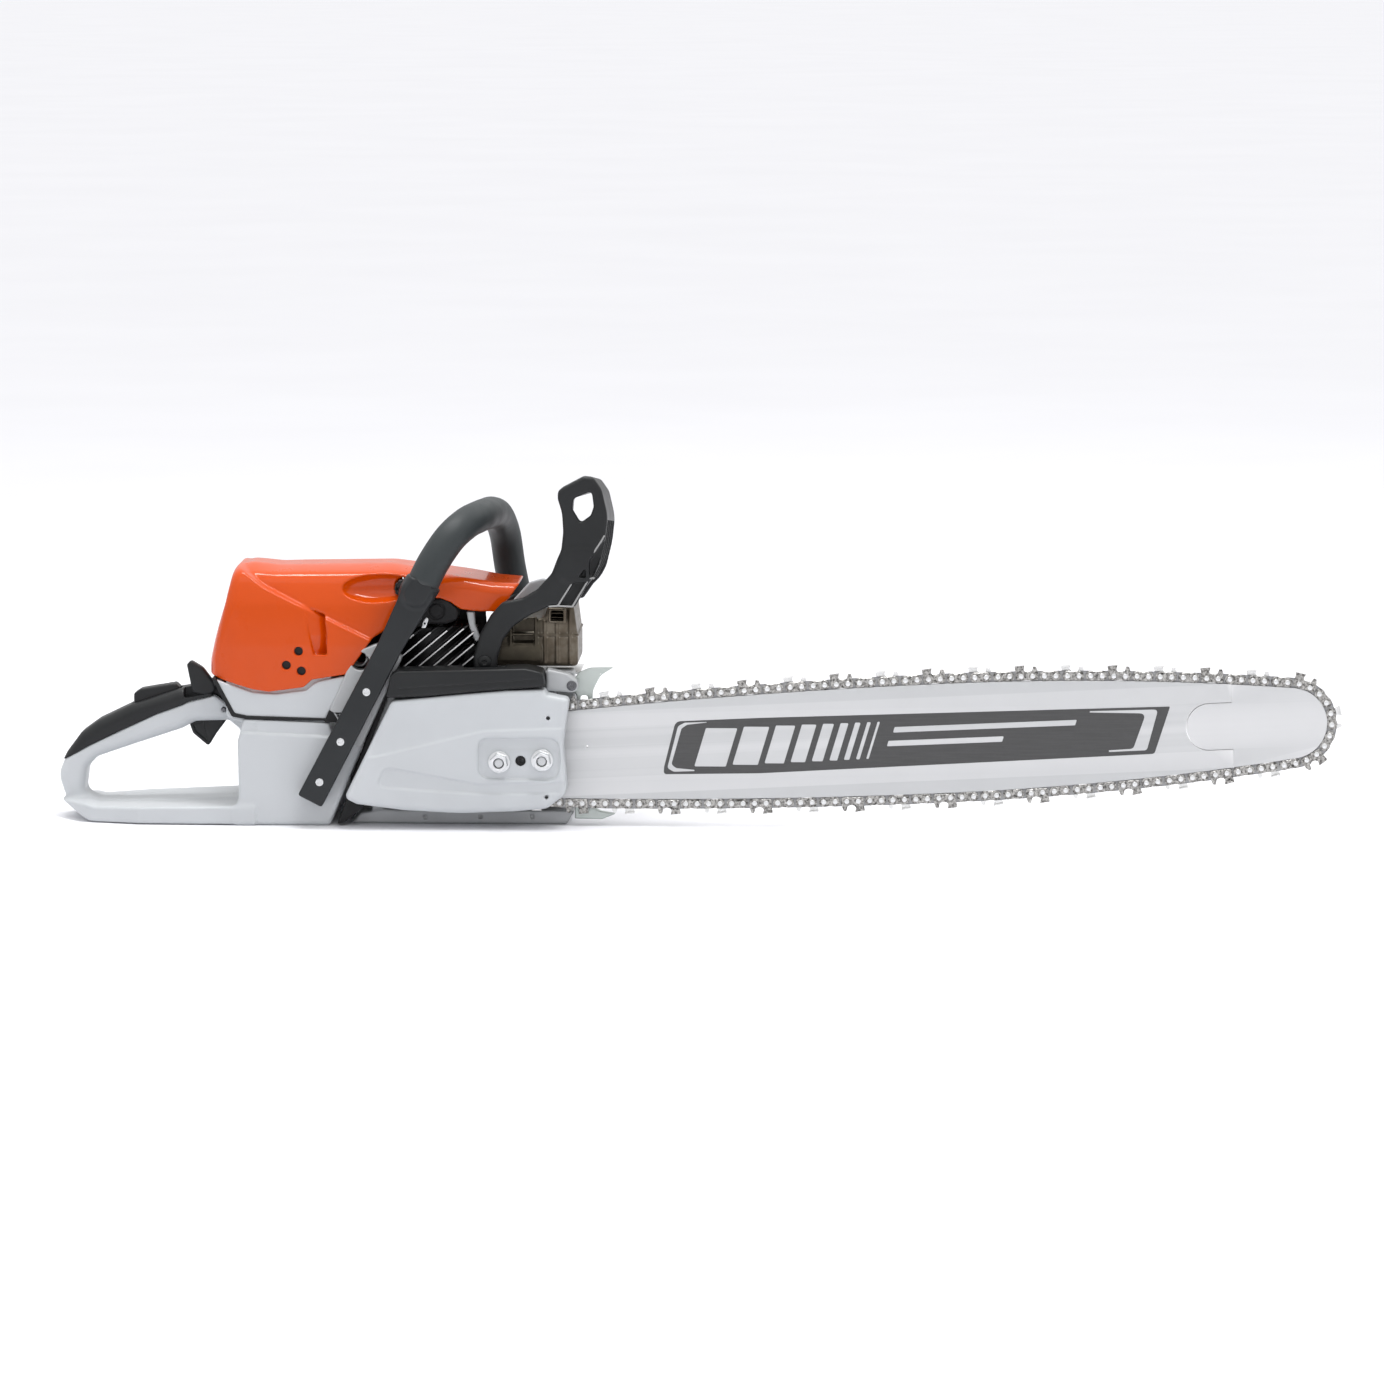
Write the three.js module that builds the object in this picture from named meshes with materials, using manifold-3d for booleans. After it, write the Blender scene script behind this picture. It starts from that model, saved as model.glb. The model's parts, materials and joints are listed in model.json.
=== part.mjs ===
// Petrol chainsaw, professional class: 72 cc powerhead, 63 cm guide bar, 3/8" chain of 84 drive links.
// Millimetres. +X runs from the rear handle to the bar tip, +Y to the starter side, +Z up from the ground.
import * as THREE from 'three';
import { mergeVertices } from 'three/addons/utils/BufferGeometryUtils.js';
import Module from 'manifold-3d';

const wasm = await Module();
wasm.setup();
const { PI, cos, sin, acos, atan2, hypot, sqrt, min } = Math;

// ---- driving dimensions ----------------------------------------------------------------------
const GAP = 0.3;                    // air between touching pieces
const CUTTERS = 42;                 // one cutter every four rivet spacings, full complement
const TILT = 2.8 * PI / 180;        // the bar rises towards its tip
const MOUTH = [421, 59.6];          // where the bar leaves the sprocket cover, X and Z
const BAR_Y = -52;                  // mid-plane of bar and chain
const BAR_THICK = 4.6;
const BAR_PEAK = 310;               // widest point of the bar, from the mouth
const BAR_HALF = 45.4;              // half its greatest width
const REAR_ARC = 5309;              // radius of the rails behind the widest point
const TAIL_ARC = 170;               // radius of the rails near the bar's tail
const TAIL_START = -4;
const TAIL_END = -80;
const NOSE_AT = 595.5;              // nose sprocket centre, from the mouth
const NOSE_RADIUS = 29.3;
const RIVET_LIFT = 4.2;             // rivets run this far above the rails
const SPROCKET_RADIUS = 21.4;       // rivet circle of the 7-tooth drive sprocket
const SPROCKET_BACK = 115.96;       // drive sprocket centre behind the mouth: fits 84 drive links
const onBar = (along) => [MOUTH[0] + along * cos(TILT), MOUTH[1] + along * sin(TILT)];
const CRANK = onBar(-SPROCKET_BACK);
const STUDS = [onBar(-57), onBar(-21.5)];
const STUD_RADIUS = 4;
const BORE = 25;                    // cylinder bore radius
const BARREL_RADIUS = 30.5;         // outside of the cylinder, without its fins
const STROKE = 36.5;
const DRUM_RADIUS = 38;
const HANDLE_TUBE = 13.3;           // radius of the front handle's grip
const GRIP_Y = -4;                  // mid-plane of the rear handle
const GUARD_PIVOT = [351, 137];
const FUEL_CAP = [180, 46];         // X and Z of the caps on the left side
const OIL_CAP = [396, 42];
const COVER_LOCK = [284, 197];      // quarter-turn locks of the top cover
const SPIKE_SCREW = [416, 117.5];
const ORIGIN = [524.235, 14.415, 0];   // centre of the whole saw's base, the part's own origin

// ---- surfaces --------------------------------------------------------------------------------
const finish = (color, roughness, metalness) => ({ color, roughness, metalness });
const ORANGE = finish(0xe8631a, 0.3, 0);
const WHITE = finish(0xdfe3e6, 0.45, 0);
const BLACK = finish(0x2b2d2f, 0.6, 0);
const RUBBER = finish(0x26282a, 0.85, 0);
const CASTING = finish(0xa9aba8, 0.5, 0.7);
const STEEL = finish(0xb6b8ba, 0.3, 1);
const DARK_STEEL = finish(0x55575a, 0.4, 1);
const WARM_STEEL = finish(0x94866f, 0.45, 0.9);
const BAR_PAINT = finish(0xd4d6d8, 0.4, 0.3);
const FELT = finish(0xd9d2bd, 0.95, 0);

// ---- solids ----------------------------------------------------------------------------------
function solid(geometry) {
  const bare = geometry.clone();
  bare.deleteAttribute('normal');
  bare.deleteAttribute('uv');
  const merged = mergeVertices(bare, 1e-4);
  const corners = merged.index.array;
  const kept = [];
  for (let i = 0; i < corners.length; i += 3) {
    const [a, b, c] = corners.slice(i, i + 3);
    if (a !== b && b !== c && c !== a) kept.push(a, b, c);
  }
  return new wasm.Manifold(new wasm.Mesh({
    numProp: 3,
    vertProperties: merged.attributes.position.array,
    triVerts: new Uint32Array(kept),
  }));
}

function geometryOf(made) {
  const { vertProperties, triVerts } = made.getMesh();
  const geometry = new THREE.BufferGeometry();
  geometry.setAttribute('position', new THREE.BufferAttribute(vertProperties, 3));
  geometry.setIndex(new THREE.BufferAttribute(triVerts, 1));
  geometry.computeVertexNormals();
  return geometry;
}

const join = (first, ...rest) => rest.reduce((whole, piece) => whole.add(piece), first);
const cut = (first, ...tools) => tools.reduce((whole, tool) => whole.subtract(tool), first);

// A closed outline through corners [a, b, r]: r, where given, is the radius that rounds the corner.
function outline(corners) {
  const shape = new THREE.Shape();
  corners.forEach(([a, b, r = 0], i) => {
    const here = new THREE.Vector2(a, b);
    const before = new THREE.Vector2(...corners.at(i - 1).slice(0, 2)).sub(here);
    const after = new THREE.Vector2(...corners[(i + 1) % corners.length].slice(0, 2)).sub(here);
    const half = acos(THREE.MathUtils.clamp(before.dot(after) / before.length() / after.length(), -1, 1)) / 2;
    const back = min(r / Math.tan(half), 0.48 * before.length(), 0.48 * after.length());
    const from = before.setLength(back).add(here);
    const to = after.setLength(back).add(here);
    if (i === 0) shape.moveTo(from.x, from.y);
    else shape.lineTo(from.x, from.y);
    if (r > 0) shape.quadraticCurveTo(a, b, to.x, to.y);
  });
  return shape;
}

const TO_Y = new THREE.Matrix4().makeRotationX(PI / 2);
const TO_X = new THREE.Matrix4().makeBasis(
  new THREE.Vector3(0, 1, 0), new THREE.Vector3(0, 0, 1), new THREE.Vector3(1, 0, 0));

function extruded(corners, depth, curveSegments = 2) {
  return new THREE.ExtrudeGeometry(outline(corners), { depth, bevelEnabled: false, curveSegments });
}

// A plate whose outline lies in XZ, between two Y planes.
function slabY(corners, y0, y1, curveSegments) {
  return solid(extruded(corners, y1 - y0, curveSegments).applyMatrix4(TO_Y).translate(0, y1, 0));
}

// A plate whose outline lies in YZ, between two X planes.
function slabX(corners, x0, x1, curveSegments) {
  return solid(extruded(corners, x1 - x0, curveSegments).applyMatrix4(TO_X).translate(x0, 0, 0));
}

// A plate whose outline lies in XY, between two Z planes.
function slabZ(corners, z0, z1, curveSegments) {
  return solid(extruded(corners, z1 - z0, curveSegments).translate(0, 0, z0));
}

const rectangle = (a0, b0, a1, b1, r) => [[a0, b0, r], [a1, b0, r], [a1, b1, r], [a0, b1, r]];

function box([x0, y0, z0], [x1, y1, z1]) {
  const block = new THREE.BoxGeometry(x1 - x0, y1 - y0, z1 - z0);
  return solid(block.translate((x0 + x1) / 2, (y0 + y1) / 2, (z0 + z1) / 2));
}

// A round bar along Y about the point [x, z].
function discY([x, z], radius, y0, y1, sides = 20) {
  return solid(new THREE.CylinderGeometry(radius, radius, y1 - y0, sides).translate(x, (y0 + y1) / 2, z));
}

const ringY = (centre, outer, inner, y0, y1, sides) =>
  cut(discY(centre, outer, y0, y1, sides), discY(centre, inner, y0 - 1, y1 + 1, sides));

// A round bar between two points in space.
function rod(from, to, radius, sides = 14) {
  const start = new THREE.Vector3(...from);
  const along = new THREE.Vector3(...to).sub(start);
  const turn = new THREE.Quaternion().setFromUnitVectors(
    new THREE.Vector3(0, 1, 0), along.clone().normalize());
  const bar = new THREE.CylinderGeometry(radius, radius, along.length(), sides);
  bar.applyQuaternion(turn).translate(...start.addScaledVector(along, 0.5).toArray());
  return solid(bar);
}

function circle(radius, sides) {
  const shape = new THREE.Shape();
  for (let i = 0; i < sides; i++) {
    const angle = 2 * PI * i / sides;
    if (i === 0) shape.moveTo(radius, 0);
    else shape.lineTo(radius * cos(angle), radius * sin(angle));
  }
  return shape;
}

function tube(points, radius, steps, sides) {
  const extrudePath = new THREE.CatmullRomCurve3(points.map((p) => new THREE.Vector3(...p)));
  return new THREE.ExtrudeGeometry(circle(radius, sides), { steps, extrudePath, bevelEnabled: false });
}

// ---- assembly --------------------------------------------------------------------------------
const chainsaw = new THREE.Group();
const powerhead = new THREE.Group();
const cuttingSet = new THREE.Group();   // bar, nose and chain in the bar's own frame: X along the bar
cuttingSet.position.set(MOUTH[0], BAR_Y, MOUTH[1]);
cuttingSet.rotation.y = -TILT;
chainsaw.add(powerhead, cuttingSet);

function part(name, made, look, group = powerhead) {
  const geometry = made.isBufferGeometry ? made : geometryOf(made);
  const mesh = new THREE.Mesh(geometry, new THREE.MeshStandardMaterial(look));
  mesh.name = name;
  group.add(mesh);
}

// ---- bar and chain: one offset curve serves the rails, the chain and the tail ----------------
const onCircle = ([a, b], radius, angle) => [a + radius * cos(angle), b + radius * sin(angle)];

function arcPoints(centre, radius, from, to, steps) {
  const points = [];
  for (let i = 0; i <= steps; i++) points.push(onCircle(centre, radius, from + (to - from) * i / steps));
  return points;
}

// Arcs of the rail's upper half, from the tail to the nose: centre, radius, first and last angle.
function railArcs() {
  const frontArc = ((NOSE_AT - BAR_PEAK) ** 2 / (BAR_HALF - NOSE_RADIUS) + BAR_HALF + NOSE_RADIUS) / 2;
  const rear = [BAR_PEAK, BAR_HALF - REAR_ARC];
  const front = [BAR_PEAK, BAR_HALF - frontArc];
  const bend = atan2(sqrt(REAR_ARC ** 2 - (BAR_PEAK - TAIL_START) ** 2), TAIL_START - BAR_PEAK);
  const tail = onCircle(rear, REAR_ARC - TAIL_ARC, bend);
  const reach = [tail[0] + SPROCKET_BACK, tail[1]];
  const leave = atan2(reach[1], reach[0])
    + acos((SPROCKET_RADIUS - TAIL_ARC - RIVET_LIFT) / hypot(...reach));
  const meet = atan2(-front[1], NOSE_AT - front[0]);
  return { rear, front, frontArc, tail, bend, leave, meet };
}

function upperRail(lift, tailSteps = 4) {
  const { rear, front, frontArc, tail, bend, leave, meet } = railArcs();
  return [
    ...arcPoints(tail, TAIL_ARC + lift, leave, bend, tailSteps),
    ...arcPoints(rear, REAR_ARC + lift, bend, PI / 2, 8).slice(1),
    ...arcPoints(front, frontArc + lift, PI / 2, meet, 8).slice(1),
  ];
}

const mirrored = (points) => points.map(([u, v]) => [u, -v]).reverse();

function chainSide(lift, wrap) {
  const nose = arcPoints([NOSE_AT, 0], NOSE_RADIUS + lift, railArcs().meet, 0, 8).slice(1);
  const sprocket = arcPoints([-SPROCKET_BACK, 0], wrap, PI, railArcs().leave, 6);
  return [...sprocket, ...upperRail(lift), ...nose];
}

const loop = (half) => [...half, ...mirrored(half).slice(1, -1)];

const barPlate = (corners, thick = BAR_THICK) => slabY(corners, -thick / 2, thick / 2);

function guideBar() {
  const rail = upperRail(0, 3).slice(1);
  const tail = [[TAIL_END, 0], [TAIL_END, 17, 5], [TAIL_END + 8, 25, 5]];
  const half = [...tail, ...rail];
  const plate = barPlate([...half, ...mirrored(half).slice(0, -1)]);
  const slot = barPlate([[-73, -4.6, 4], [-8, -4.6, 4], [-8, 4.6, 4], [-73, 4.6, 4]], 9);
  const adjusterHoles = [-1, 1].map((side) => discY([-58, side * 17.5], 4.2, -5, 5, 12));
  return cut(plate, slot, ...adjusterHoles);
}

// The nose insert: two cheeks with the sprocket between them, let into the bar by a long tongue.
function noseTongue(shrink) {
  return barPlate([
    [509.5 + shrink, 0], [509.5 + shrink, 19 - shrink, 14], [545, 19 - shrink, 4],
    [550 + shrink, 60], [640, 60], [640, -60], [550 + shrink, -60],
    [545, shrink - 19, 4], [509.5 + shrink, shrink - 19, 14],
  ], 9);
}

function barNose(whole) {
  const sprocketSlot = discY([NOSE_AT, 0], NOSE_RADIUS + 4, -1.1, 1.1, 24);
  const axleHole = discY([NOSE_AT, 0], 6.3, -4, 4, 12);
  return cut(whole.intersect(noseTongue(GAP)), sprocketSlot, axleHole);
}

function wholeBar() {
  const nose = arcPoints([NOSE_AT, 0], NOSE_RADIUS, railArcs().meet, 0, 8);
  const half = [[400, 0], ...upperRail(0).filter(([u]) => u > 400), ...nose.slice(1)];
  return barPlate([...half, ...mirrored(half).slice(1, -1)]);
}

function noseSprocket() {
  const teeth = 11;
  const corners = [];
  for (let i = 0; i < teeth; i++) {
    const angle = 2 * PI * i / teeth;
    corners.push(onCircle([0, 0], 28.6, angle - 0.06), onCircle([0, 0], 28.6, angle + 0.06));
    corners.push(onCircle([0, 0], 22, angle + PI / teeth));
  }
  const wheel = slabY(corners, -0.8, 0.8);
  return join(wheel, discY([0, 0], 6, -2.3, 2.3, 12)).translate(NOSE_AT, 0, 0);
}

// The chain without its drive tangs: strap band with the cutters and depth gauges standing on it.
function sawChain() {
  const strap = 3.8;
  const outer = loop(chainSide(RIVET_LIFT + strap, SPROCKET_RADIUS + strap));
  const inner = loop(chainSide(RIVET_LIFT - strap, SPROCKET_RADIUS - strap));
  const band = cut(slabY(outer, -3, 3), slabY(inner, -5, 5));
  const centreline = new THREE.Path(loop(chainSide(RIVET_LIFT, SPROCKET_RADIUS))
    .map(([u, v]) => new THREE.Vector2(u, v)));
  centreline.autoClose = true;
  const teeth = [];
  for (let i = 0; i < CUTTERS; i++) {
    const along = (i + 0.5) / CUTTERS;
    const { x, y } = centreline.getPointAt(along);
    const direction = centreline.getTangentAt(along);
    const side = i % 2 ? -1 : 1;
    const profile = [[-9, 0], [9, 0], [9, 7.2], [2, 3], [-1, 8.6], [-9, 7.4]];
    const tooth = slabY(profile, 0.4, 4.1).transform(new THREE.Matrix4().makeScale(1, side, 1).elements);
    const turn = new THREE.Matrix4().makeRotationY(-atan2(direction.y, direction.x)).setPosition(x, 0, y);
    teeth.push(tooth.transform(turn.elements));
  }
  return join(band, ...teeth);
}

part('guide_bar', cut(guideBar(), noseTongue(0)), BAR_PAINT, cuttingSet);
part('bar_nose', barNose(wholeBar()), BAR_PAINT, cuttingSet);
part('nose_sprocket', noseSprocket(), STEEL, cuttingSet);
part('saw_chain', sawChain(), STEEL, cuttingSet);

// ---- crankshaft, clutch and drive, all about the crank axis ----------------------------------
function crankshaft() {
  const webs = [-14, 5].map((y) => discY(CRANK, 31, y, y + 9, 24));
  const pin = discY([CRANK[0], CRANK[1] + STROKE / 2], 8, -6, 6, 12);
  return join(discY(CRANK, 7.5, -60, 50, 16), ...webs, pin);
}

function clutchDrum() {
  const cup = cut(discY(CRANK, DRUM_RADIUS, -46, -24, 24), discY(CRANK, DRUM_RADIUS - 2.5, -43.5, -23, 24));
  const hub = discY(CRANK, 11, -58.5, -44, 16);
  return cut(join(cup, hub), discY(CRANK, 8, -60, -40, 16));
}

function rimSprocket() {
  const slots = [];
  for (let i = 0; i < 7; i++) {
    const angle = 2 * PI * i / 7;
    slots.push(discY(onCircle(CRANK, 17.5, angle), 2.4, -53.2, -50.8, 8));
  }
  return cut(ringY(CRANK, 17.2, 11 + GAP, -56.6, -47.4, 28), ...slots);
}

function clutchHub() {
  const shoes = ringY(CRANK, 34.2, 22, -41, -27, 24);
  const splits = [0, 1, 2].map((i) => {
    const [x, z] = onCircle(CRANK, 30, 2 * PI * i / 3);
    return discY([x, z], 3.2, -42, -26, 6);
  });
  const spider = [0, 1, 2].map((i) => {
    const [x, z] = onCircle(CRANK, 26, 2 * PI * (i + 0.5) / 3);
    return rod([CRANK[0], -34, CRANK[1]], [x, -34, z], 5, 6);
  });
  const whole = join(cut(shoes, ...splits), discY(CRANK, 13, -41, -27, 16), ...spider);
  return cut(whole, discY(CRANK, 7.5 + GAP, -45, -20, 16));
}

function brakeBand() {
  const band = ringY(CRANK, DRUM_RADIUS + 2.4, DRUM_RADIUS + 0.9, -41, -29, 28);
  const [x, z] = CRANK;
  const gap = box([x + 20, -45, z - 12], [x + 50, -25, z + 12]);
  const lug = box([x + 34.5, -38, z + 9], [x + 43, -32, z + 18]);
  return join(cut(band, gap), cut(lug, discY(CRANK, DRUM_RADIUS + 1.2, -50, -20, 28)));
}

function flywheel() {
  const rim = ringY(CRANK, 47, 38, 26, 34, 28);
  const web = discY(CRANK, 40, 26, 30, 24);
  const hub = discY(CRANK, 13, 24, 42, 16);
  const vanes = [];
  for (let i = 0; i < 9; i++) {
    const angle = 2 * PI * i / 9;
    const vane = box([20, 29, -1.2], [46.4, 45, 1.2]);
    vanes.push(vane.rotate([0, -angle * 180 / PI, 0]).translate(CRANK[0], 0, CRANK[1]));
  }
  return cut(join(rim, web, hub, ...vanes), discY(CRANK, 7.5 + GAP, 0, 60, 16));
}

function piston() {
  const crown = [CRANK[0], CRANK[1] + STROKE / 2 + 62 + 17];
  const skirt = rod([crown[0], 0, crown[1] - 29], [crown[0], 0, crown[1]], BORE - 0.15, 24);
  const inside = rod([crown[0], 0, crown[1] - 40], [crown[0], 0, crown[1] - 5], BORE - 3, 20);
  const windows = box([crown[0] - 12, -30, crown[1] - 45], [crown[0] + 12, 30, crown[1] - 21]);
  return cut(skirt, inside, windows);
}

part('crankshaft', crankshaft(), STEEL);
part('clutch_hub', clutchHub(), DARK_STEEL);
part('clutch_drum', clutchDrum(), DARK_STEEL);
part('rim_sprocket', rimSprocket(), STEEL);
part('brake_band', brakeBand(), DARK_STEEL);
part('oil_pump', cut(join(discY(CRANK, 17, -23.6, -19.8, 16),
  box([CRANK[0], -23.6, CRANK[1] - 32], [CRANK[0] + 24, -19.8, CRANK[1] - 10])),
  discY(CRANK, 8, -30, -10, 16)), WHITE);
part('flywheel', flywheel(), CASTING);
part('piston', piston(), CASTING);

// ---- crankcase -------------------------------------------------------------------------------
const CASE_FRONT = 424;
const CASE_TOP = 98;

function crankcase() {
  const [x, z] = CRANK;
  const block = slabY([[262, 6, 6], [CASE_FRONT, 6, 10], [CASE_FRONT, 108, 8], [398, 118, 6],
    [352, 118, 4], [350, CASE_TOP], [262, CASE_TOP, 6]], -19, 21);
  const base = slabY([[238, 0], [CASE_FRONT - 6, 0, 4], [CASE_FRONT, 12, 4], [262, 12], [246, 9]], -46, 21);
  const oilTank = slabY([[366, 6, 6], [CASE_FRONT, 6, 10], [CASE_FRONT, 84, 8], [376, 84, 8]], -19, 68);
  const barPad = join(
    slabY([[351.5, 22, 6], [CASE_FRONT - 2, 24, 8], [CASE_FRONT - 2, 92, 8], [351.5, 88, 6]], -46.5, -19),
    slabY([[352, 41, 4], [417, 36, 6], [417, 84, 6], [352, 75, 4]], BAR_Y + BAR_THICK / 2 + GAP, -46),
  );
  const brakeWall = cut(
    slabY([[256, 8, 4], [CASE_FRONT, 8, 4], [CASE_FRONT, 128, 3], [400, 128], [396, 116, 3],
      [272, 112, 10], [252, 60, 20]], -45, -18),
    slabY([[262, 11, 12], [CASE_FRONT + 9, 11], [CASE_FRONT + 9, 110.5], [398, 110.5], [277, 106, 14],
      [257.5, 60, 20]], -50, -19.5),
    box([398, -50, 110], [430, -41, 130]),
    box([260, -23, CASE_TOP - GAP], [343, -10, 130]),
  );
  const pivotBoss = discY(GUARD_PIVOT, 8, -44.5, -37, 14);
  const pivotWeb = slabY([[343, 108], [364, 108], [359, 136], [343, 136]], -44.5, -37);
  const chamber = discY(CRANK, 33, -16.5, 16.5, 24);
  const spigot = rod([x, 0, z], [x, 0, CASE_TOP + 32], BORE + 1.5, 24);
  const barrelGap = rod([x, 0, CASE_TOP], [x, 0, CASE_TOP + 32], BARREL_RADIUS + 0.8, 20);
  const shaftBore = discY(CRANK, 9, -30, 30, 20);
  const oilNeck = discY(OIL_CAP, 15.4, 56, 70, 20);
  const studHoles = STUDS.map((at) => discY(at, STUD_RADIUS + GAP, -60, -24, 14));
  const tensionerBore = rod([352, -41, 31], [CASE_FRONT + 4, -41, 31], 3.6, 12);
  const pinTrack = box([352, -52, 27], [380, -41, 41]);
  const pivotBore = discY(GUARD_PIVOT, 4.3, -60, -30, 14);
  const whole = join(block, base, oilTank, barPad, brakeWall, pivotBoss, pivotWeb);
  const engine = [chamber, spigot, barrelGap, shaftBore];
  return cut(whole, ...engine, oilNeck, ...studHoles, tensionerBore, pinTrack, pivotBore);
}

part('crankcase', crankcase(), CASTING);

STUDS.forEach((at, i) => {
  part(`bar_stud_${i + 1}`, discY(at, STUD_RADIUS, -86, -26, 12), STEEL);
  const flange = discY(at, 9.3, -80, -78.3, 20);
  const hexagon = discY(at, 7.5, -88, -80, 6);
  part(`bar_nut_${i + 1}`, cut(join(flange, hexagon), discY(at, STUD_RADIUS + GAP, -90, -70, 12)), STEEL);
});

// ---- cylinder and what bolts to it -----------------------------------------------------------
function cylinder() {
  const [x, z] = CRANK;
  const foot = box([x - 38, -17.7, CASE_TOP + GAP], [x + 36, 21.7, CASE_TOP + 7]);
  const barrel = rod([x, 0, CASE_TOP + 4], [x, 0, 163], BARREL_RADIUS, 20);
  const envelope = box([x - 38, -42, CASE_TOP + 7], [x + 36, 40, 165.5]);
  const fins = [];
  for (let i = 0; i < 7; i++) {
    const fin = box([-90, -42, -0.9], [90, 40, 0.9]).rotate([0, -40, 0]);
    fins.push(fin.translate(x, 0, 84 + i * 15).intersect(envelope));
  }
  const intake = rod([x - 44, 0, 122], [x, 0, 122], 12, 14);
  const exhaust = box([x, -16, 120], [x + 40.5, 16, 146]);
  const bore = rod([x, 0, CASE_TOP - 5], [x, 0, 157], BORE, 24);
  const inlet = rod([x - 46, 0, 122], [x - 20, 0, 122], 9, 14);
  const outlet = box([x + 20, -12, 124], [x + 42, 12, 142]);
  const plugHole = rod([x, 0, 150], [x, 0, 175], 6.2, 12);
  const plugWell = rod([x, 0, 163.1], [x, 0, 190], 12, 14);
  const rightFlank = box([x - 60, -60, 80], [x + 60, -17.7, 130]);
  const leftFlank = box([x - 60, 21.7, 80], [x + 60, 60, 130]);
  const flanks = cut(join(...fins, exhaust), rightFlank, leftFlank);
  return cut(join(foot, barrel, flanks, intake), bore, inlet, outlet, plugHole, plugWell);
}

part('cylinder', cylinder(), BLACK);

const [CX] = CRANK;
part('spark_plug', join(rod([CX, 0, 157.5], [CX, 0, 164], 5.8, 12), rod([CX, 0, 163.4], [CX, 0, 170], 9, 6),
  rod([CX, 0, 169], [CX, 0, 178], 4, 12)), STEEL);
part('spark_plug_boot', cut(
  join(rod([CX, -34, 176], [CX, 6, 176], 9.5, 14), rod([CX, 0, 170.5], [CX, 0, 186], 10.5, 14)),
  rod([CX, 0, 160], [CX, 0, 171], 9.6, 12), rod([CX, 0, 168], [CX, 0, 179], 4.6, 12)), RUBBER);

function muffler() {
  const side = [[350, 131, 4], [427, 131, 6], [424, 182, 8], [402, 184, 5], [398, 170, 4], [352, 168, 6]];
  const shell = slabY(side, -36, 38);
  const inside = slabY([[353, 134, 3], [424, 134, 4], [421, 179, 6], [404, 181, 4], [400, 167, 4],
    [355, 165, 4]], -33.5, 35.5);
  const inlet = box([345, -11, 136], [356, 11, 150]);
  const outlet = box([405, -50, 170], [415, -30, 178]);
  return cut(shell, inside, inlet, outlet);
}

part('muffler', muffler(), WARM_STEEL);
part('exhaust_outlet', cut(box([402.5, -43, 167.5], [417.5, -36 - GAP, 180.5]),
  box([404.5, -49, 169.5], [415.5, -30, 178.5])), STEEL);
part('heat_shield', slabY([[347, 125.5], [428, 122], [428, 123.5], [347, 127]], -16, 40), CASTING);

part('intake_boot', cut(rod([CX - 72, 0, 122], [CX - 44 - GAP, 0, 122], 13, 16),
  rod([CX - 80, 0, 122], [CX - 40, 0, 122], 9, 16)), RUBBER);
function carburetor() {
  const body = box([196, -17, 104], [CX - 72 - GAP, 17, 140]);
  const bowl = box([202, -12, 98], [226, 12, 105]);
  return cut(join(body, bowl), rod([190, 0, 122], [240, 0, 122], 9, 16));
}
part('carburetor', carburetor(), CASTING);
part('air_filter', cut(slabY([[136, 130, 6], [190, 130, 4], [190, 188, 10], [150, 190, 12]], -42, 42),
  slabY([[143, 128], [184, 128], [184, 182, 8], [155, 183, 8]], -37, 37)), FELT);
part('ignition_module', join(box([CX - 16, 33, 106], [CX + 20, 47, 119]),
  box([CX - 24, 35, 108], [CX + 26, 39, 116])), BLACK);

// ---- air box and top cover -------------------------------------------------------------------
function carburetorBox() {
  const outer = slabY([[128, 120.5], [159, 110.5], [178, 109.3], [203, 112.5], [208.5, 117.5], [212, 120.5],
    [238, 125], [219, 88, 4], [154, 90, 6], [142, 92, 4]], -57, 55);
  const inner = slabY([[118, 150], [146, 93, 5], [155, 92.8, 4], [217, 90.8, 3], [240, 150]], -54.5, 52.5);
  const shell = cut(outer, inner);
  return cut(shell, box([215, -18, 96], [250, 18, 128]));
}
part('carburetor_box', carburetorBox(), WHITE);

// Side outline of the orange cover; inset pulls the top and rear in by the wall's thickness.
function coverSide(inset) {
  const t = inset;
  return [[120 + t, 133, 4], [136 + t, 184, 40], [143.5 + t, 214 - t, 10], [156, 217.5 - t, 8],
    [178, 213.5 - t, 20], [272, 215.5 - t, 20], [322, 207 - t, 30], [358, 200.5 - t, 20],
    [384 - t, 199 - t, 4]];
}
const coverLower = [[372, 188, 5], [359, 176.5, 3], [341, 177.5], [330, 179], [322, 185, 4], [311, 189.5, 4],
  [258, 156, 4], [237, 126.5], [208, 121.8], [201, 115.5, 3], [172, 111.5, 8], [159, 113.5], [133, 121]];

function coverFront(inset) {
  const t = inset;
  return [[-59 + t, 100], [-60.5 + t, 150, 10], [-57 + t, 178, 16], [-44 + t, 206 - t, 22],
    [-20, 217.6 - t, 20], [20, 217.6 - t, 20], [44 - t, 206 - t, 22], [55 - t, 178, 16],
    [58.5 - t, 150, 10], [57 - t, 100]];
}
const coverPlan = (inset) => [[118 + inset, -46, 20], [150, inset - 61, 20], [262, inset - 61, 20],
  [308, inset - 50, 20], [390 - inset, inset - 36, 14], [390 - inset, 40 - inset, 14], [308, 52 - inset, 20],
  [262, 59 - inset, 20], [150, 59 - inset, 20], [118 + inset, 44, 20]];

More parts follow.
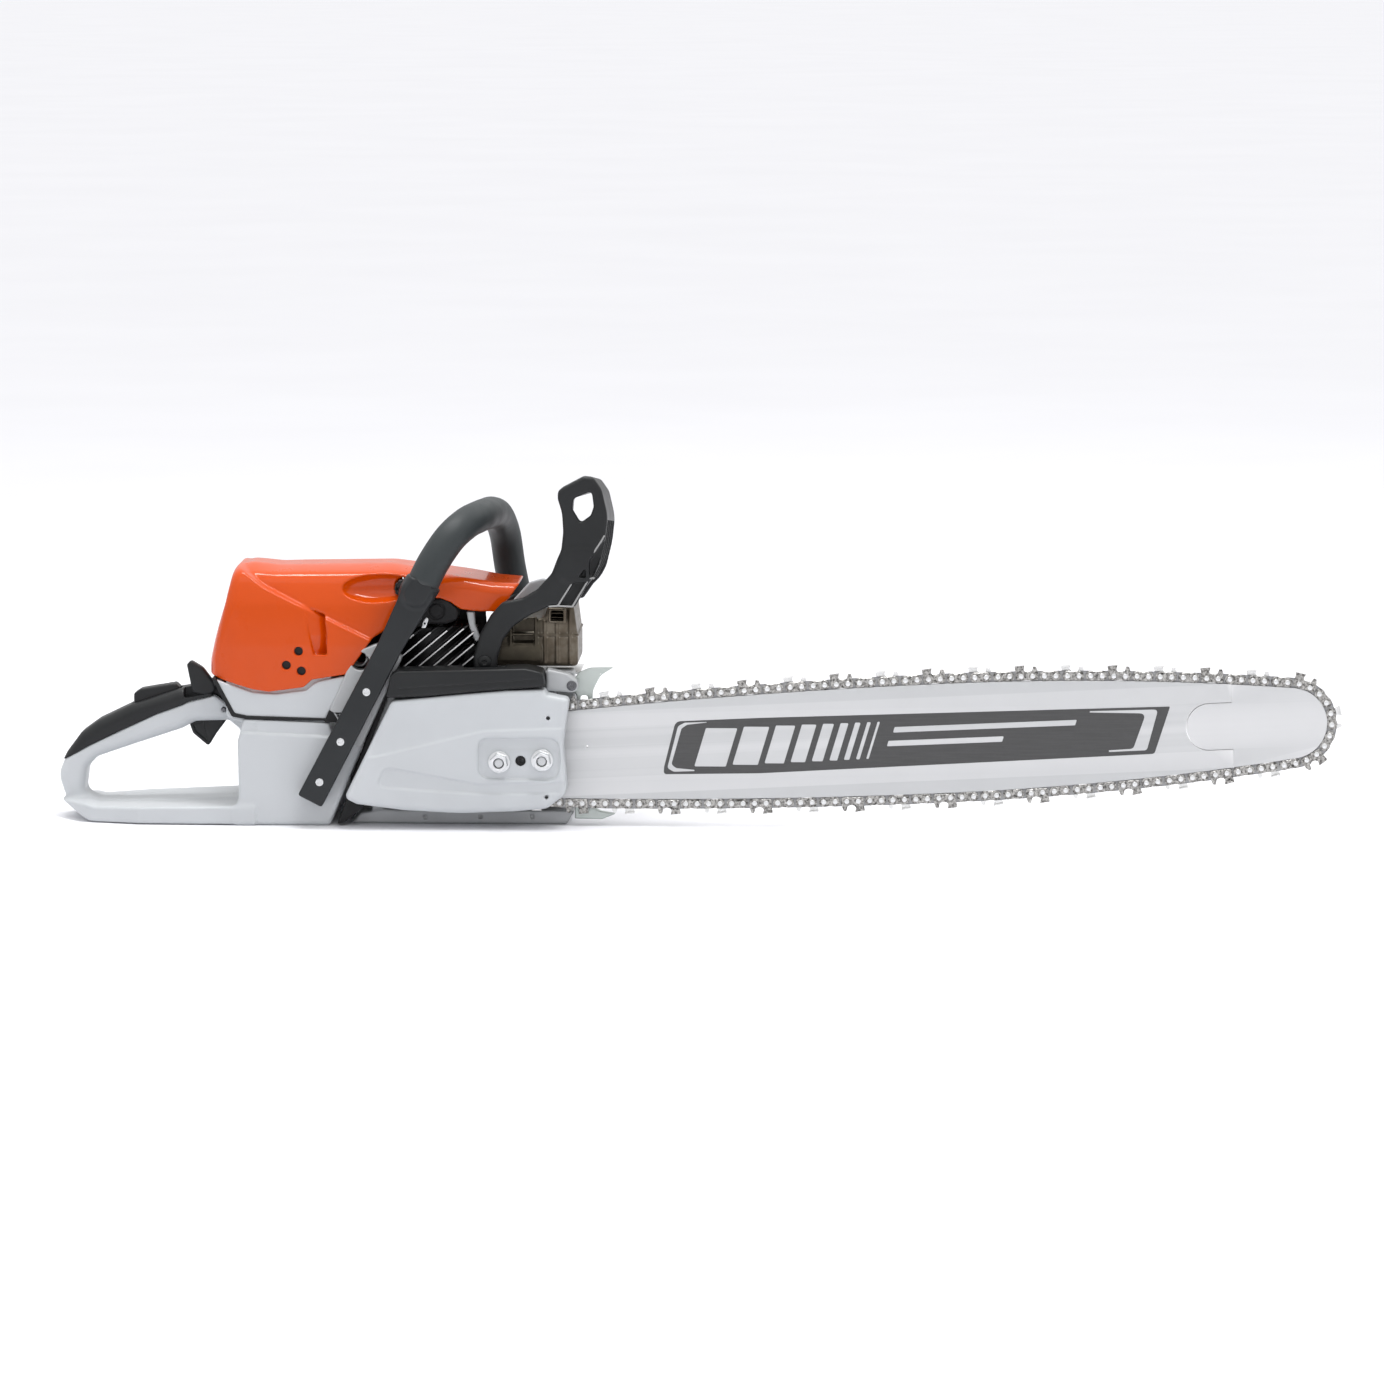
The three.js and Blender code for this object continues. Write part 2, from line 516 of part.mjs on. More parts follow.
function topCover() {
  const wall = 2.4;
  const outer = slabY([...coverSide(0), ...coverLower], -70, 70)
    .intersect(slabX(coverFront(0), 110, 400)).intersect(slabZ(coverPlan(0), 100, 230));
  const inner = slabY([[100, 80], ...coverSide(wall), [420, 80]], -70, 70)
    .intersect(slabX(coverFront(wall), 100, 430)).intersect(slabZ(coverPlan(wall), 70, 230));
  const holes = [[197, 145], [187, 133], [199, 128]].map((at) => discY(at, 3.4, -70, -40, 10));
  const vent = slabY([[202, 176], [205, 146, 3], [218, 147, 3], [219, 170, 3]], -70, -40);
  const lockHoles = [[-70, -20], [20, 70]].map(([y0, y1]) => discY(COVER_LOCK, 8.3, y0, y1, 18));
  return cut(outer, inner, ...holes, vent, ...lockHoles);
}
part('top_cover', topCover(), ORANGE);

function coverLock(side) {
  const [x, z] = COVER_LOCK;
  const knob = discY(COVER_LOCK, 7.8, 40, 54, 18);
  const key = box([x - 1.2, 53, z - 6], [x + 1.2, 56, z + 6]);
  const shank = discY(COVER_LOCK, 3.4, 28, 41, 12);
  const lock = join(cut(knob, key), shank);
  const mirror = new THREE.Matrix4().makeScale(1, -1, 1);
  return side > 0 ? lock.translate(0, -3, 0) : lock.transform(mirror.elements);
}
part('cover_lock_right', coverLock(-1), BLACK);
part('cover_lock_left', coverLock(1), BLACK);

// ---- starter side ----------------------------------------------------------------------------
const HOUSING_OUT = 84;
const GRIP_AT = [CRANK[0] - 24, 70];     // where the starter rope leaves, X and Y

function fanHousing() {
  const wall = 2.5;
  const side = (t) => [[255 + t, 2 + t, 16], [350 - t, 2 + t, 18], [366 - t, 60, 30], [364 - t, 112 - t, 16],
    [320, 126 - t, 16], [262 + t, 126 - t, 14], [251 + t, 70, 30]];
  const section = [[22, 0], [72, 0], [HOUSING_OUT, 22, 12], [HOUSING_OUT, 100, 14], [70, 130], [22, 130]];
  const outer = slabY(side(0), 22, HOUSING_OUT).intersect(slabX(section, 200, 400));
  const hollow = [[20, -10], [71, -10], [HOUSING_OUT - wall, 22 + wall, 12], [HOUSING_OUT - wall, 98, 14],
    [70, 160], [20, 160]];
  const inner = slabY(side(wall), 20, HOUSING_OUT - wall).intersect(slabX(hollow, 200, 400));
  const ear = cut(slabY([[344, 108], [364, 108], [372, 128, 4], [398, 172, 6], [396, 195, 5], [381, 190.5, 4],
    [366, 174, 6], [342, 146, 6]], 58, 62), discY(GUARD_PIVOT, 4.3, 40, 90, 14));
  const earRoot = box([344, 50, 106], [362, 62, 125]);
  const post = discY(CRANK, 6, 52, HOUSING_OUT - 1, 14);
  const slots = [];
  for (let i = 0; i < 7; i++) {
    const angle = PI * (0.14 + 0.12 * i);
    const [x, z] = onCircle(CRANK, 42, -angle);
    const slot = box([-9, 70, -1.8], [9, 95, 1.8]).rotate([0, angle * 180 / PI, 0]);
    slots.push(slot.translate(x, 0, z));
  }
  const ropeHole = rod([GRIP_AT[0], GRIP_AT[1], 100], [GRIP_AT[0], GRIP_AT[1], 140], 3.2, 10);
  const barrelGap = rod([CRANK[0], 0, CASE_TOP], [CRANK[0], 0, 140], BARREL_RADIUS + 0.8, 20);
  return cut(join(cut(outer, inner), ear, earRoot, post), ...slots, ropeHole, barrelGap);
}
part('fan_housing', fanHousing(), WHITE);

function starterPulley() {
  const flanges = [64, 74].map((y) => discY(CRANK, 30, y, y + 2, 24));
  const sheave = join(discY(CRANK, 20, 65, 75, 20), ...flanges);
  return cut(sheave, discY(CRANK, 6 + GAP, 40, 90, 14));
}
part('starter_pulley', starterPulley(), BLACK);
part('starter_rope', ringY(CRANK, 27, 20 + GAP, 66 + GAP, 74 - GAP, 24), FELT);

function starterGrip() {
  const [x, y] = GRIP_AT;
  const bar = rod([x - 22, y, 152], [x + 22, y, 152], 7.5, 12);
  const neck = rod([x, y, 130], [x, y, 150], 6.5, 12);
  return cut(join(bar, neck), rod([x, y, 128], [x, y, 140], 2.2, 8));
}
part('starter_grip', starterGrip(), RUBBER);

// ---- tank, rear handle and controls ----------------------------------------------------------
// Parting line of the rear handle: white housing below, black grip cover above.
const SPLIT = [[-4, 48], [18, 60.5], [46, 74], [74, 87], [102, 97], [122, 102.5]];

function tankHousing() {
  const handle = slabY([[27, 0, 10], [-6, 16, 14], [-8, 36, 10], ...SPLIT.map(([x, z]) => [x, z, 4]),
    [140, 90, 3], [152, 86], [150, 0]], GRIP_Y - 17, GRIP_Y + 17);
  const plateRise = slabY([[20, 0, 8], [-8, 16], [150, 16], [150, 0]], -70, 70);
  const plate = slabZ([[-6, -18, 12], [14, -44, 16], [60, -58, 20], [150, -60], [150, 56], [60, 44, 20],
    [14, 30, 16], [-6, 10, 12]], 0, 16).intersect(plateRise);
  const tank = slabY([[138, 0], [222, 0, 4], [249, 66, 3], [243, 76, 3], [222, 76], [222, 85.6], [151, 88.6],
    [147, 70, 3], [147, 10]], -60, 60);
  const arm = slabY([[228, 60], [246, 60], [284, 140, 3], [262, 152, 4], [252, 138]], -60, -46);
  const leftFoot = slabY([[206, 4, 4], [243, 4, 6], [243, 34, 8], [206, 38]], 50, 108);
  const loopHole = slabY([[12, 22, 7], [15, 42, 8], [24, 51, 6], [53, 61], [95, 75, 6], [106, 81, 4],
    [134, 82, 6], [144, 72, 5], [144, 17.5, 5], [24, 14, 8]], -80, 80);
  const triggerSlot = box([94, GRIP_Y - 7, 74], [134, GRIP_Y + 7, 99]);
  const lockoutSlot = box([54, GRIP_Y - 7, 78], [96, GRIP_Y + 7, 110]);
  const fillerNeck = discY(FUEL_CAP, 18.4, 48, 61, 20);
  const springSeat = discY([246, 138], 8, -47.5, -40, 16);
  const whole = join(cut(join(handle, plate, tank, leftFoot), loopHole), arm);
  return cut(whole, triggerSlot, lockoutSlot, fillerNeck, springSeat);
}
part('tank_housing', tankHousing(), WHITE);

function rearGripCover() {
  const lower = SPLIT.map(([x, z]) => [x, z + GAP]).reverse();
  const top = [[-1, 54, 3], [11, 71, 8], [25, 81, 8], [53, 94.5, 4], [92, 107.5, 4], [118, 112, 6],
    [126, 112, 4], [137, 92, 2]];
  const strip = slabY([...lower, ...top], GRIP_Y - 19, GRIP_Y + 19);
  const crown = slabX([[GRIP_Y - 19, 0], [GRIP_Y + 19, 0], [GRIP_Y + 19, 103, 3], [GRIP_Y + 12, 114, 6],
    [GRIP_Y - 12, 114, 6], [GRIP_Y - 19, 103, 3]], -20, 160);
  const lockoutSlot = box([52.5, GRIP_Y - 8, 70], [93.5, GRIP_Y + 8, 130]);
  const leverSlot = box([96, GRIP_Y - 17, 90], [133, GRIP_Y - 6, 140]);
  return cut(strip.intersect(crown), lockoutSlot, leverSlot);
}
part('rear_grip_cover', rearGripCover(), BLACK);
part('throttle_lockout', slabY([[54, 92, 2], [54, 104, 2], [59, 107, 2], [90, 112, 2], [92.5, 108],
  [92.5, 103], [84, 101]], GRIP_Y - 7, GRIP_Y + 7), BLACK);
part('throttle_trigger', slabY([[101, 77], [107, 66], [115, 59, 2], [122, 69, 8], [130, 80], [126, 90, 3],
  [116, 94, 3], [104, 88, 3]], GRIP_Y - 5.5, GRIP_Y + 5.5), BLACK);
part('master_lever', slabY([[104, 106, 3], [100.5, 119, 6], [100, 129, 2], [103, 132, 2], [115, 126, 8],
  [124, 116, 6], [125.5, 108, 3], [117, 101.5, 3]], GRIP_Y - 16, GRIP_Y - 7), BLACK);

function screwCap([x, z], radius, from, to) {
  const body = discY([x, z], radius, from, to, 20);
  const key = box([x - radius * 0.7, to - 0.5, z - 2], [x + radius * 0.7, to + 4, z + 2]);
  return join(body, key);
}
part('fuel_cap', screwCap(FUEL_CAP, 18, 50, 63), BLACK);
part('oil_cap', screwCap(OIL_CAP, 15, 58, 71), BLACK);

// ---- vibration springs -----------------------------------------------------------------------
// A helical spring about its own Y axis, then turned to lie along X where asked.
function spring(length, turns) {
  const perTurn = 8;
  const radius = 6.2;
  const points = [];
  for (let i = 0; i <= turns * perTurn; i++) {
    const angle = 2 * PI * i / perTurn;
    points.push([radius * cos(angle), length * i / (turns * perTurn), radius * sin(angle)]);
  }
  return tube(points, 1.3, turns * perTurn, 5);
}
part('av_spring_rear', spring(18.5, 4).translate(246, -44.5, 138), DARK_STEEL);
part('av_spring_front', spring(14, 3).rotateZ(-PI / 2).translate(246.5, 4, 26), DARK_STEEL);

// ---- front handle ----------------------------------------------------------------------------
const LEG_BASE = [207, 23];
const LEG_TOP = [299.5, 200];
const legLength = hypot(LEG_TOP[0] - LEG_BASE[0], LEG_TOP[1] - LEG_BASE[1]);
const RAIL_SCREWS = [0.09, 0.28, 0.515];   // shares of the way up the leg
const onLeg = (share) => LEG_BASE.map((low, i) => low + (LEG_TOP[i] - low) * share);

function handleRail() {
  const [dx, dz] = LEG_BASE.map((low, i) => (LEG_TOP[i] - low) / legLength);
  const across = (share, offset) => {
    const [x, z] = onLeg(share);
    return [x + offset * dz, z - offset * dx];
  };
  const flat = slabY([across(0, -11), across(0, 11), across(0.72, 10), across(1, 13), across(1, -13),
    across(0.72, -10)], -74, -61 - GAP);
  const rim = slabY([across(0, -11), across(0, -7), across(1, -8), across(1, -13), across(0.72, -10)],
    -78, -73);
  const rimFront = slabY([across(0, 7), across(0, 11), across(0.72, 10), across(1, 13), across(1, 8)],
    -78, -73);
  const holes = RAIL_SCREWS.map((share) => discY(onLeg(share), 3.2, -80, -50, 12));
  return cut(join(flat, rim, rimFront), ...holes);
}
part('handle_rail', handleRail(), BLACK);
RAIL_SCREWS.forEach((share, i) => {
  const head = discY(onLeg(share), 5.4, -77, -74 - GAP, 14);
  const shank = discY(onLeg(share), 2.8, -75, -61 + GAP, 10);
  part(`rail_screw_${i + 1}`, join(head, shank), STEEL);
});

const HANDLE_PATH = [[301, -69, 203], [309.5, -68, 220], [323, -61, 240], [335, -44, 250.5], [343, -22, 253.5],
  [348, 5, 253.5], [351, 38, 251.5], [354.5, 68, 245], [358.5, 90, 228], [362, 99, 200], [369, 103, 160],
  [373, 104, 110], [368, 103, 70], [352, 101, 40], [325, 100, 24], [290, 99, 19], [244, 99, 19]];
part('front_handle', tube(HANDLE_PATH, HANDLE_TUBE, 32, 10), RUBBER);

// ---- sprocket cover --------------------------------------------------------------------------
function sprocketCover() {
  const outer = slabY([[276, 108.5, 4], [237, 26, 4], [246, 21.5, 4], [306, 14.2], [352, 14.2], [404, 17, 6],
    [419, 32, 10], [414.5, 60], [419, 109], [404, 112.6]], -78, -46);
  const inner = slabY([[280.5, 105.5, 6], [242, 28, 6], [307, 17.5], [352, 17.5], [430, 18.8], [430, 110.2],
    [404, 109.8]], -75.6, -40);
  const boss = slabY([[352, 43, 3], [411, 46, 3], [411, 67, 3], [352, 67, 3]],
    -77, BAR_Y - BAR_THICK / 2 - GAP);
  const mouth = box([410, BAR_Y - 8, 10], [440, -40, 120]);
  const chainExit = box([356, BAR_Y - 8, 10], [440, -40, 40]);
  const studHoles = STUDS.map((at) => discY(at, STUD_RADIUS + GAP, -90, -40, 14));
  const adjuster = discY(onBar(-39.5), 4.2, -90, -74, 12);
  return cut(join(cut(outer, inner, mouth, chainExit), boss), ...studHoles, adjuster);
}
part('sprocket_cover', sprocketCover(), WHITE);

function coverTrim() {
  const body = slabY([[277, 109.6], [280, 131, 4], [341, 132.5], [386, 134], [398, 131, 3], [400.5, 119],
    [400.5, 113.4]], -78, -46);
  const armSlot = box([333, -63, 119], [368, -44.8, 140]);
  return cut(body, armSlot);
}
part('cover_trim', coverTrim(), BLACK);

// The tensioner's screw lies along the bar; its nut carries the pin that enters the bar.
part('tensioner_screw', rod([354, -41, 31], [CASE_FRONT + 2, -41, 31], 2.6, 10), STEEL);

// ---- front hardware --------------------------------------------------------------------------
function bumperSpike() {
  const plate = [[403, 113.5], [403, 127], [422, 121], [428, 128], [447, 132.5], [457, 132], [446, 124, 6],
    [440, 112, 6], [440, 96], [426, 96], [426, 110, 3]];
  return cut(slabY(plate, -44.5, -41.5), discY(SPIKE_SCREW, 3.2, -60, -30, 10),
    box([430, -60, 98], [435, -30, 106]));
}
part('bumper_spike', bumperSpike(), CASTING);
part('spike_screw', join(discY(SPIKE_SCREW, 5, -48, -44.5 - GAP, 12),
  discY(SPIKE_SCREW, 2.8, -46, -41.2 - GAP, 10)), STEEL);
part('chain_catcher', slabY([[424.5, 5], [447, 5], [459, 9], [446, 12, 4], [434, 17, 4], [424.5, 21]],
  -46.6, -41), CASTING);

// ---- hand guard ------------------------------------------------------------------------------
const GUARD_NEAR = -58;              // Y of the guard's right face
const GUARD_FALL = 0.11;            // its crossbar falls towards the starter side
const GUARD_HEAD = [[409, 208, 14], [416, 245, 30], [411.6, 272, 6], [411.6, 278.5, 4], [416, 282, 4],
  [433, 290.6, 5], [441, 289.8, 6], [448, 280, 10], [453, 258, 30], [450.5, 236, 30], [435, 198, 20]];

function handGuard() {
  const arm = [[342, 130], [341.5, 141, 6], [347, 160, 14], [356, 176, 10], [366, 187, 8], [382, 190, 8],
    [394, 197, 8], [406, 210, 8], [417, 232], [440, 232], [446, 220, 8], [426, 183, 3], [404.8, 183.5, 8],
    [388.6, 176, 8], [374.7, 166.8, 8], [366, 155, 10], [361.5, 140, 6], [361, 130]];
  const head = slabY(GUARD_HEAD, GUARD_NEAR, 72);
  const cheekRight = slabY(arm, GUARD_NEAR, -49);
  const cheekLeft = slabY(arm, 63, 72);
  const window = slabY([[423.6, 264, 3], [424.4, 272.5, 4], [439.6, 279, 3], [441.2, 266, 4], [438.6, 258.6, 4],
    [430.5, 252.6, 3]], -80, 90);
  const hollow = slabY([[416, 196], [421.5, 238, 8], [420, 247, 4], [430, 246, 4], [448, 256], [470, 240],
    [450, 190]], -50.5, 64.5);
  const bores = discY(GUARD_PIVOT, 4.3, -70, 90, 14);
  const guard = geometryOf(cut(join(head, cheekRight, cheekLeft), window, hollow, bores));
  const place = guard.getAttribute('position');
  for (let i = 0; i < place.count; i++) {
    const upper = THREE.MathUtils.clamp((place.getZ(i) - 150) / 60, 0, 1);
    place.setZ(i, place.getZ(i) - GUARD_FALL * (place.getY(i) - GUARD_NEAR) * upper);
  }
  return guard;
}
part('hand_guard', handGuard(), BLACK);
part('guard_pivot_right', discY(GUARD_PIVOT, 4, -61, -37.4, 12), STEEL);
part('guard_pivot_left', join(discY(GUARD_PIVOT, 4, 56, 73, 12), discY(GUARD_PIVOT, 7, 72.3, 75, 14)), STEEL);

chainsaw.position.set(-ORIGIN[0], -ORIGIN[1], -ORIGIN[2]);
export default chainsaw;
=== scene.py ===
import json
import math

import bpy
import numpy as np
import openvdb
from mathutils import Matrix, Vector
from mathutils.geometry import tessellate_polygon


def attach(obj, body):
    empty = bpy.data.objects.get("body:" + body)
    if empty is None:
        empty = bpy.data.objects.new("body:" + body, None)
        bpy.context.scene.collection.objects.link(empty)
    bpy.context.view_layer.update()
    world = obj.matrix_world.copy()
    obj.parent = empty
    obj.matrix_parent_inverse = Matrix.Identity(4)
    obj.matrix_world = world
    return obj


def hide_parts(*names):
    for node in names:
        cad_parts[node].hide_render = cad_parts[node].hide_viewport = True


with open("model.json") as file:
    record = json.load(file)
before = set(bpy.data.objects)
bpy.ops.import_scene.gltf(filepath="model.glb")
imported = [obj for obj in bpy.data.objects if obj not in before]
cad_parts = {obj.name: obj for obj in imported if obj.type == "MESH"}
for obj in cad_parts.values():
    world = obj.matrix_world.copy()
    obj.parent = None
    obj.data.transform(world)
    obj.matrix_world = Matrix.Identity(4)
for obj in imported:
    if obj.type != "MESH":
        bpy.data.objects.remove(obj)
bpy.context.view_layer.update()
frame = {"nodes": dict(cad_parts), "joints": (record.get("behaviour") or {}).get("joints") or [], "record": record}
JOINTS = {joint["name"]: joint for joint in frame["joints"]}
SLOTS = {part["node"]: part["material_slot"] for part in frame["record"]["subparts"]}
BODY_OF = {node: body for body, nodes in frame["record"]["behaviour"]["bodies"].items() for node in nodes}

# ---- driving dimensions ----------------------------------------------------------------------
TILT = math.atan2(JOINTS["bar_adjust"]["axis"][2], JOINTS["bar_adjust"]["axis"][0])
MOUTH = (421.0, 59.6)        # where the bar leaves the sprocket cover, X and Z
BAR_Y = -52.0                # mid-plane of bar and chain
SPROCKET_BACK = 115.96       # drive sprocket centre, behind the mouth
GRIP_Y = -4.0                # mid-plane of the rear handle
HANDLE_TUBE = 13.3           # radius of the front handle


def on_bar(along):
    return MOUTH[0] + along * math.cos(TILT), MOUTH[1] + along * math.sin(TILT)


CRANK = on_bar(-SPROCKET_BACK)
DATUM = Vector(JOINTS["crank_turn"]["pos_m"]) - Vector((CRANK[0], 0, CRANK[1])) / 1000


def at(x, y, z):
    """A point given in the saw's millimetres, in metres of the shared frame."""
    return Vector((x, y, z)) / 1000 + DATUM


def axis_of(joint):
    """X and Z of a joint's axis in the saw's millimetres."""
    place = (Vector(JOINTS[joint]["pos_m"]) - DATUM) * 1000
    return place.x, place.z


# ---- solids as signed distances --------------------------------------------------------------
class Space:
    """A block of space on a grid. Solids in it are arrays of distances in mm, negative inside."""

    def __init__(self, low, high, step):
        self.step = step * 1.0
        margin = 3 * self.step
        self.low = np.array(low, float) - margin
        counts = np.ceil((np.array(high) + margin - self.low) / self.step).astype(int) + 1
        axes = [(self.low[i] + self.step * np.arange(counts[i])).astype(np.float32) for i in range(3)]
        self.axes = self.x, self.y, self.z = np.meshgrid(*axes, indexing="ij", sparse=True)
        self.shape = tuple(counts)


def both(a, b, r=0.0):
    """Where two solids overlap; r rounds the edge between them."""
    if r == 0:
        return np.maximum(a, b)
    a, b = a + r, b + r
    return np.minimum(np.maximum(a, b), 0) + np.hypot(np.maximum(a, 0), np.maximum(b, 0)) - r


def either(a, b, r=0.0):
    """Two solids joined; r is the fillet between them."""
    return -both(-a, -b, r)


def without(a, b, r=0.0):
    """The first solid less the second; r rounds the rim of the cut."""
    return both(a, -b, r)


def rounded(corners, steps=5):
    """Corners [a, b, r] as a closed line; r, where given, is the radius that rounds the corner."""
    points = []
    for i, corner in enumerate(corners):
        here = np.array(corner[:2], float)
        r = corner[2] if len(corner) > 2 else 0
        if r == 0:
            points.append(here)
            continue
        before = np.array(corners[i - 1][:2], float) - here
        after = np.array(corners[(i + 1) % len(corners)][:2], float) - here
        lengths = np.linalg.norm(before), np.linalg.norm(after)
        half = math.acos(np.clip(before @ after / lengths[0] / lengths[1], -1, 1)) / 2
        back = min(r / math.tan(half), 0.48 * lengths[0], 0.48 * lengths[1])
        start, end = here + before / lengths[0] * back, here + after / lengths[1] * back
        for t in np.linspace(0, 1, steps + 1):
            points.append((1 - t) ** 2 * start + 2 * t * (1 - t) * here + t * t * end)
    return np.array(points)


def area(corners, a, b):
    """Signed distance in the plane of a and b to the closed line through the corners."""
    points = rounded(corners)
    shape = np.broadcast_shapes(a.shape, b.shape)
    nearest = np.full(shape, 1e9, np.float32)
    inside = np.zeros(shape, bool)
    for (a0, b0), (a1, b1) in zip(points, np.roll(points, -1, axis=0)):
        da, db = a1 - a0, b1 - b0
        if da == 0 and db == 0:
            continue
        wa, wb = a - a0, b - b0
        t = np.clip((wa * da + wb * db) / (da * da + db * db), 0, 1)
        nearest = np.minimum(nearest, (wa - t * da) ** 2 + (wb - t * db) ** 2)
        left = da * wb > db * wa
        inside ^= ((wb >= 0) & (b < b1) & left) | ((wb < 0) & (b >= b1) & ~left)
    return np.where(inside, -1, 1) * np.sqrt(nearest)


def between(a, low, high):
    return np.abs(a - (low + high) / 2) - (high - low) / 2


def slab(space, corners, y0, y1, r=1.0):
    """A plate with its outline in XZ."""
    return both(area(corners, space.x, space.z), between(space.y, y0, y1), r)


def disc(space, centre, radius, y0, y1, r=0.5):
    """A round plate about an axis along Y."""
    return both(np.hypot(space.x - centre[0], space.z - centre[1]) - radius, between(space.y, y0, y1), r)


def box(space, low, high, r=0.5):
    flat = both(between(space.x, low[0], high[0]), between(space.z, low[2], high[2]), r)
    return both(flat, between(space.y, low[1], high[1]), r)


def bar(space, start, end, radius):
    """A round bar with round ends."""
    start, end = np.array(start, float), np.array(end, float)
    d = end - start
    wx, wy, wz = space.x - start[0], space.y - start[1], space.z - start[2]
    t = np.clip((wx * d[0] + wy * d[1] + wz * d[2]) / (d @ d), 0, 1)
    return np.sqrt((wx - t * d[0]) ** 2 + (wy - t * d[1]) ** 2 + (wz - t * d[2]) ** 2) - radius


def post(space, x, y, radius, z0, z1, r=0.5):
    """A round plate about an axis along Z."""
    return both(np.hypot(space.x - x, space.y - y) - radius, between(space.z, z0, z1), r)


# ---- meshes ----------------------------------------------------------------------------------
def relax(points, faces, rounds):
    """Moves each point to the middle of its neighbours, then back out, so that the shape keeps its size."""
    edges = np.concatenate([faces[:, [i, (i + 1) % faces.shape[1]]] for i in range(faces.shape[1])])
    ends = np.concatenate([edges, edges[:, ::-1]])
    counts = np.bincount(ends[:, 0], minlength=len(points))[:, None]
    for share in (0.5, -0.52) * rounds:
        sums = [np.bincount(ends[:, 0], points[ends[:, 1], i], len(points)) for i in range(3)]
        points = points + share * (np.stack(sums, 1) / counts - points)
    return points


def skin(name, space, solid, rounds=2):
    """The surface of a solid as a mesh object."""
    band = 3 * space.step
    volume = openvdb.FloatGrid(band)
    volume.copyFromArray(np.clip(np.broadcast_to(solid, space.shape), -band, band).astype(np.float32))
    points, quads = volume.convertToQuads(0.0)
    quads = quads[:, ::-1].astype(np.int32)
    points = relax(points.astype(float), quads, rounds)
    places = ((space.low + points * space.step) / 1000 + np.array(DATUM)).astype(np.float32)
    mesh = bpy.data.meshes.new(name)
    mesh.vertices.add(len(places))
    mesh.vertices.foreach_set("co", places.ravel())
    mesh.loops.add(quads.size)
    mesh.loops.foreach_set("vertex_index", quads.ravel())
    mesh.polygons.add(len(quads))
    mesh.polygons.foreach_set("loop_start", np.arange(0, quads.size, 4, dtype=np.int32))
    mesh.polygons.foreach_set("use_smooth", np.ones(len(quads), bool))
    mesh.update(calc_edges=True)
    mesh.validate()
    return new_object(name, mesh)


def new_object(name, mesh):
    made = bpy.data.objects.new(name, mesh)
    bpy.context.scene.collection.objects.link(made)
    return made


SHARP_EDGE = math.radians(32)


def unit_rows(rows):
    return rows / np.linalg.norm(rows, axis=1)[:, None]


class Plates:
    """Gathers closed plates into one mesh. Their outlines are in a and b, their thickness in Y."""

    def __init__(self):
        self.points, self.faces = [], []

    def add(self, outlines, levels, place):
        """One plate from its outer line and the lines of its holes, in levels of (y, inset)."""
        rims, lines = [], []
        for i, line in enumerate(outlines):
            line = np.array(line, float)
            after = np.roll(line, -1, axis=0)
            turns_left = np.sum(line[:, 0] * after[:, 1] - after[:, 0] * line[:, 1]) > 0
            if turns_left == (i > 0):
                line = line[::-1]
            ahead, behind = np.roll(line, -1, axis=0) - line, line - np.roll(line, 1, axis=0)
            along = unit_rows(unit_rows(ahead) + unit_rows(behind))
            outward = np.stack([along[:, 1], -along[:, 0]], 1)
            steps = levels if i == 0 else [levels[0], levels[1], levels[-2], levels[-1]]
            first = len(self.points)
            for y, inset in steps:
                self.points += [place(a, b, y) for a, b in line - outward * inset]
            count = len(line)
            for step in range(len(steps) - 1):
                low = first + step * count
                for k in range(count):
                    n = (k + 1) % count
                    self.faces.append((low + k, low + count + k, low + count + n, low + n))
            last = len(self.points)
            rims.append((list(range(first, first + count)), list(range(last - count, last))))
            lines.append([Vector((a, b, 0)) for a, b in line])
        flat = [corner for line in lines for corner in line]
        low_ids = [index for low, _ in rims for index in low]
        high_ids = [index for _, high in rims for index in high]
        for triangle in tessellate_polygon(lines):
            a, b, c = (flat[k] for k in triangle)
            if (b - a).cross(c - a).z < 0:
                triangle = triangle[::-1]
            self.faces.append(tuple(low_ids[k] for k in triangle))
            self.faces.append(tuple(high_ids[k] for k in reversed(triangle)))

    def piece(self, name):
        mesh = bpy.data.meshes.new(name)
        mesh.from_pydata(self.points, [], self.faces)
        mesh.polygons.foreach_set("use_smooth", [True] * len(mesh.polygons))
        mesh.update()
        mesh.set_sharp_from_angle(angle=SHARP_EDGE)
        return new_object(name, mesh)


def chamfered(y0, y1, edge):
    return [(y0, edge), (y0 + edge, 0), (y1 - edge, 0), (y1, edge)]


def stands_for(made, node, *more, finish=None):
    """The piece replaces CAD nodes, rides on the first one's body and takes its finish."""
    slot = finish or SLOTS[node]
    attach(made, BODY_OF[node])
    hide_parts(node, *more)
    made.data.materials.append(MATERIALS[slot])


def goes_with(made, body, slot, look=None):
    """A detail that has no CAD node of its own."""
    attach(made, body)
    made.data.materials.append(look or MATERIALS[slot])


def part(name, space, solid, rounds=2):
    """A solid in place of the CAD node of the same name."""
    stands_for(skin(name, space, solid, rounds), name)


def detail(name, space, solid, slot):
    """A solid with no CAD node, fixed to the powerhead."""
    goes_with(skin(name, space, solid), "powerhead", slot)


# ---- materials -------------------------------------------------------------------------------
RANGE_LIMITS = ("From Min", "From Max", "To Min", "To Max")


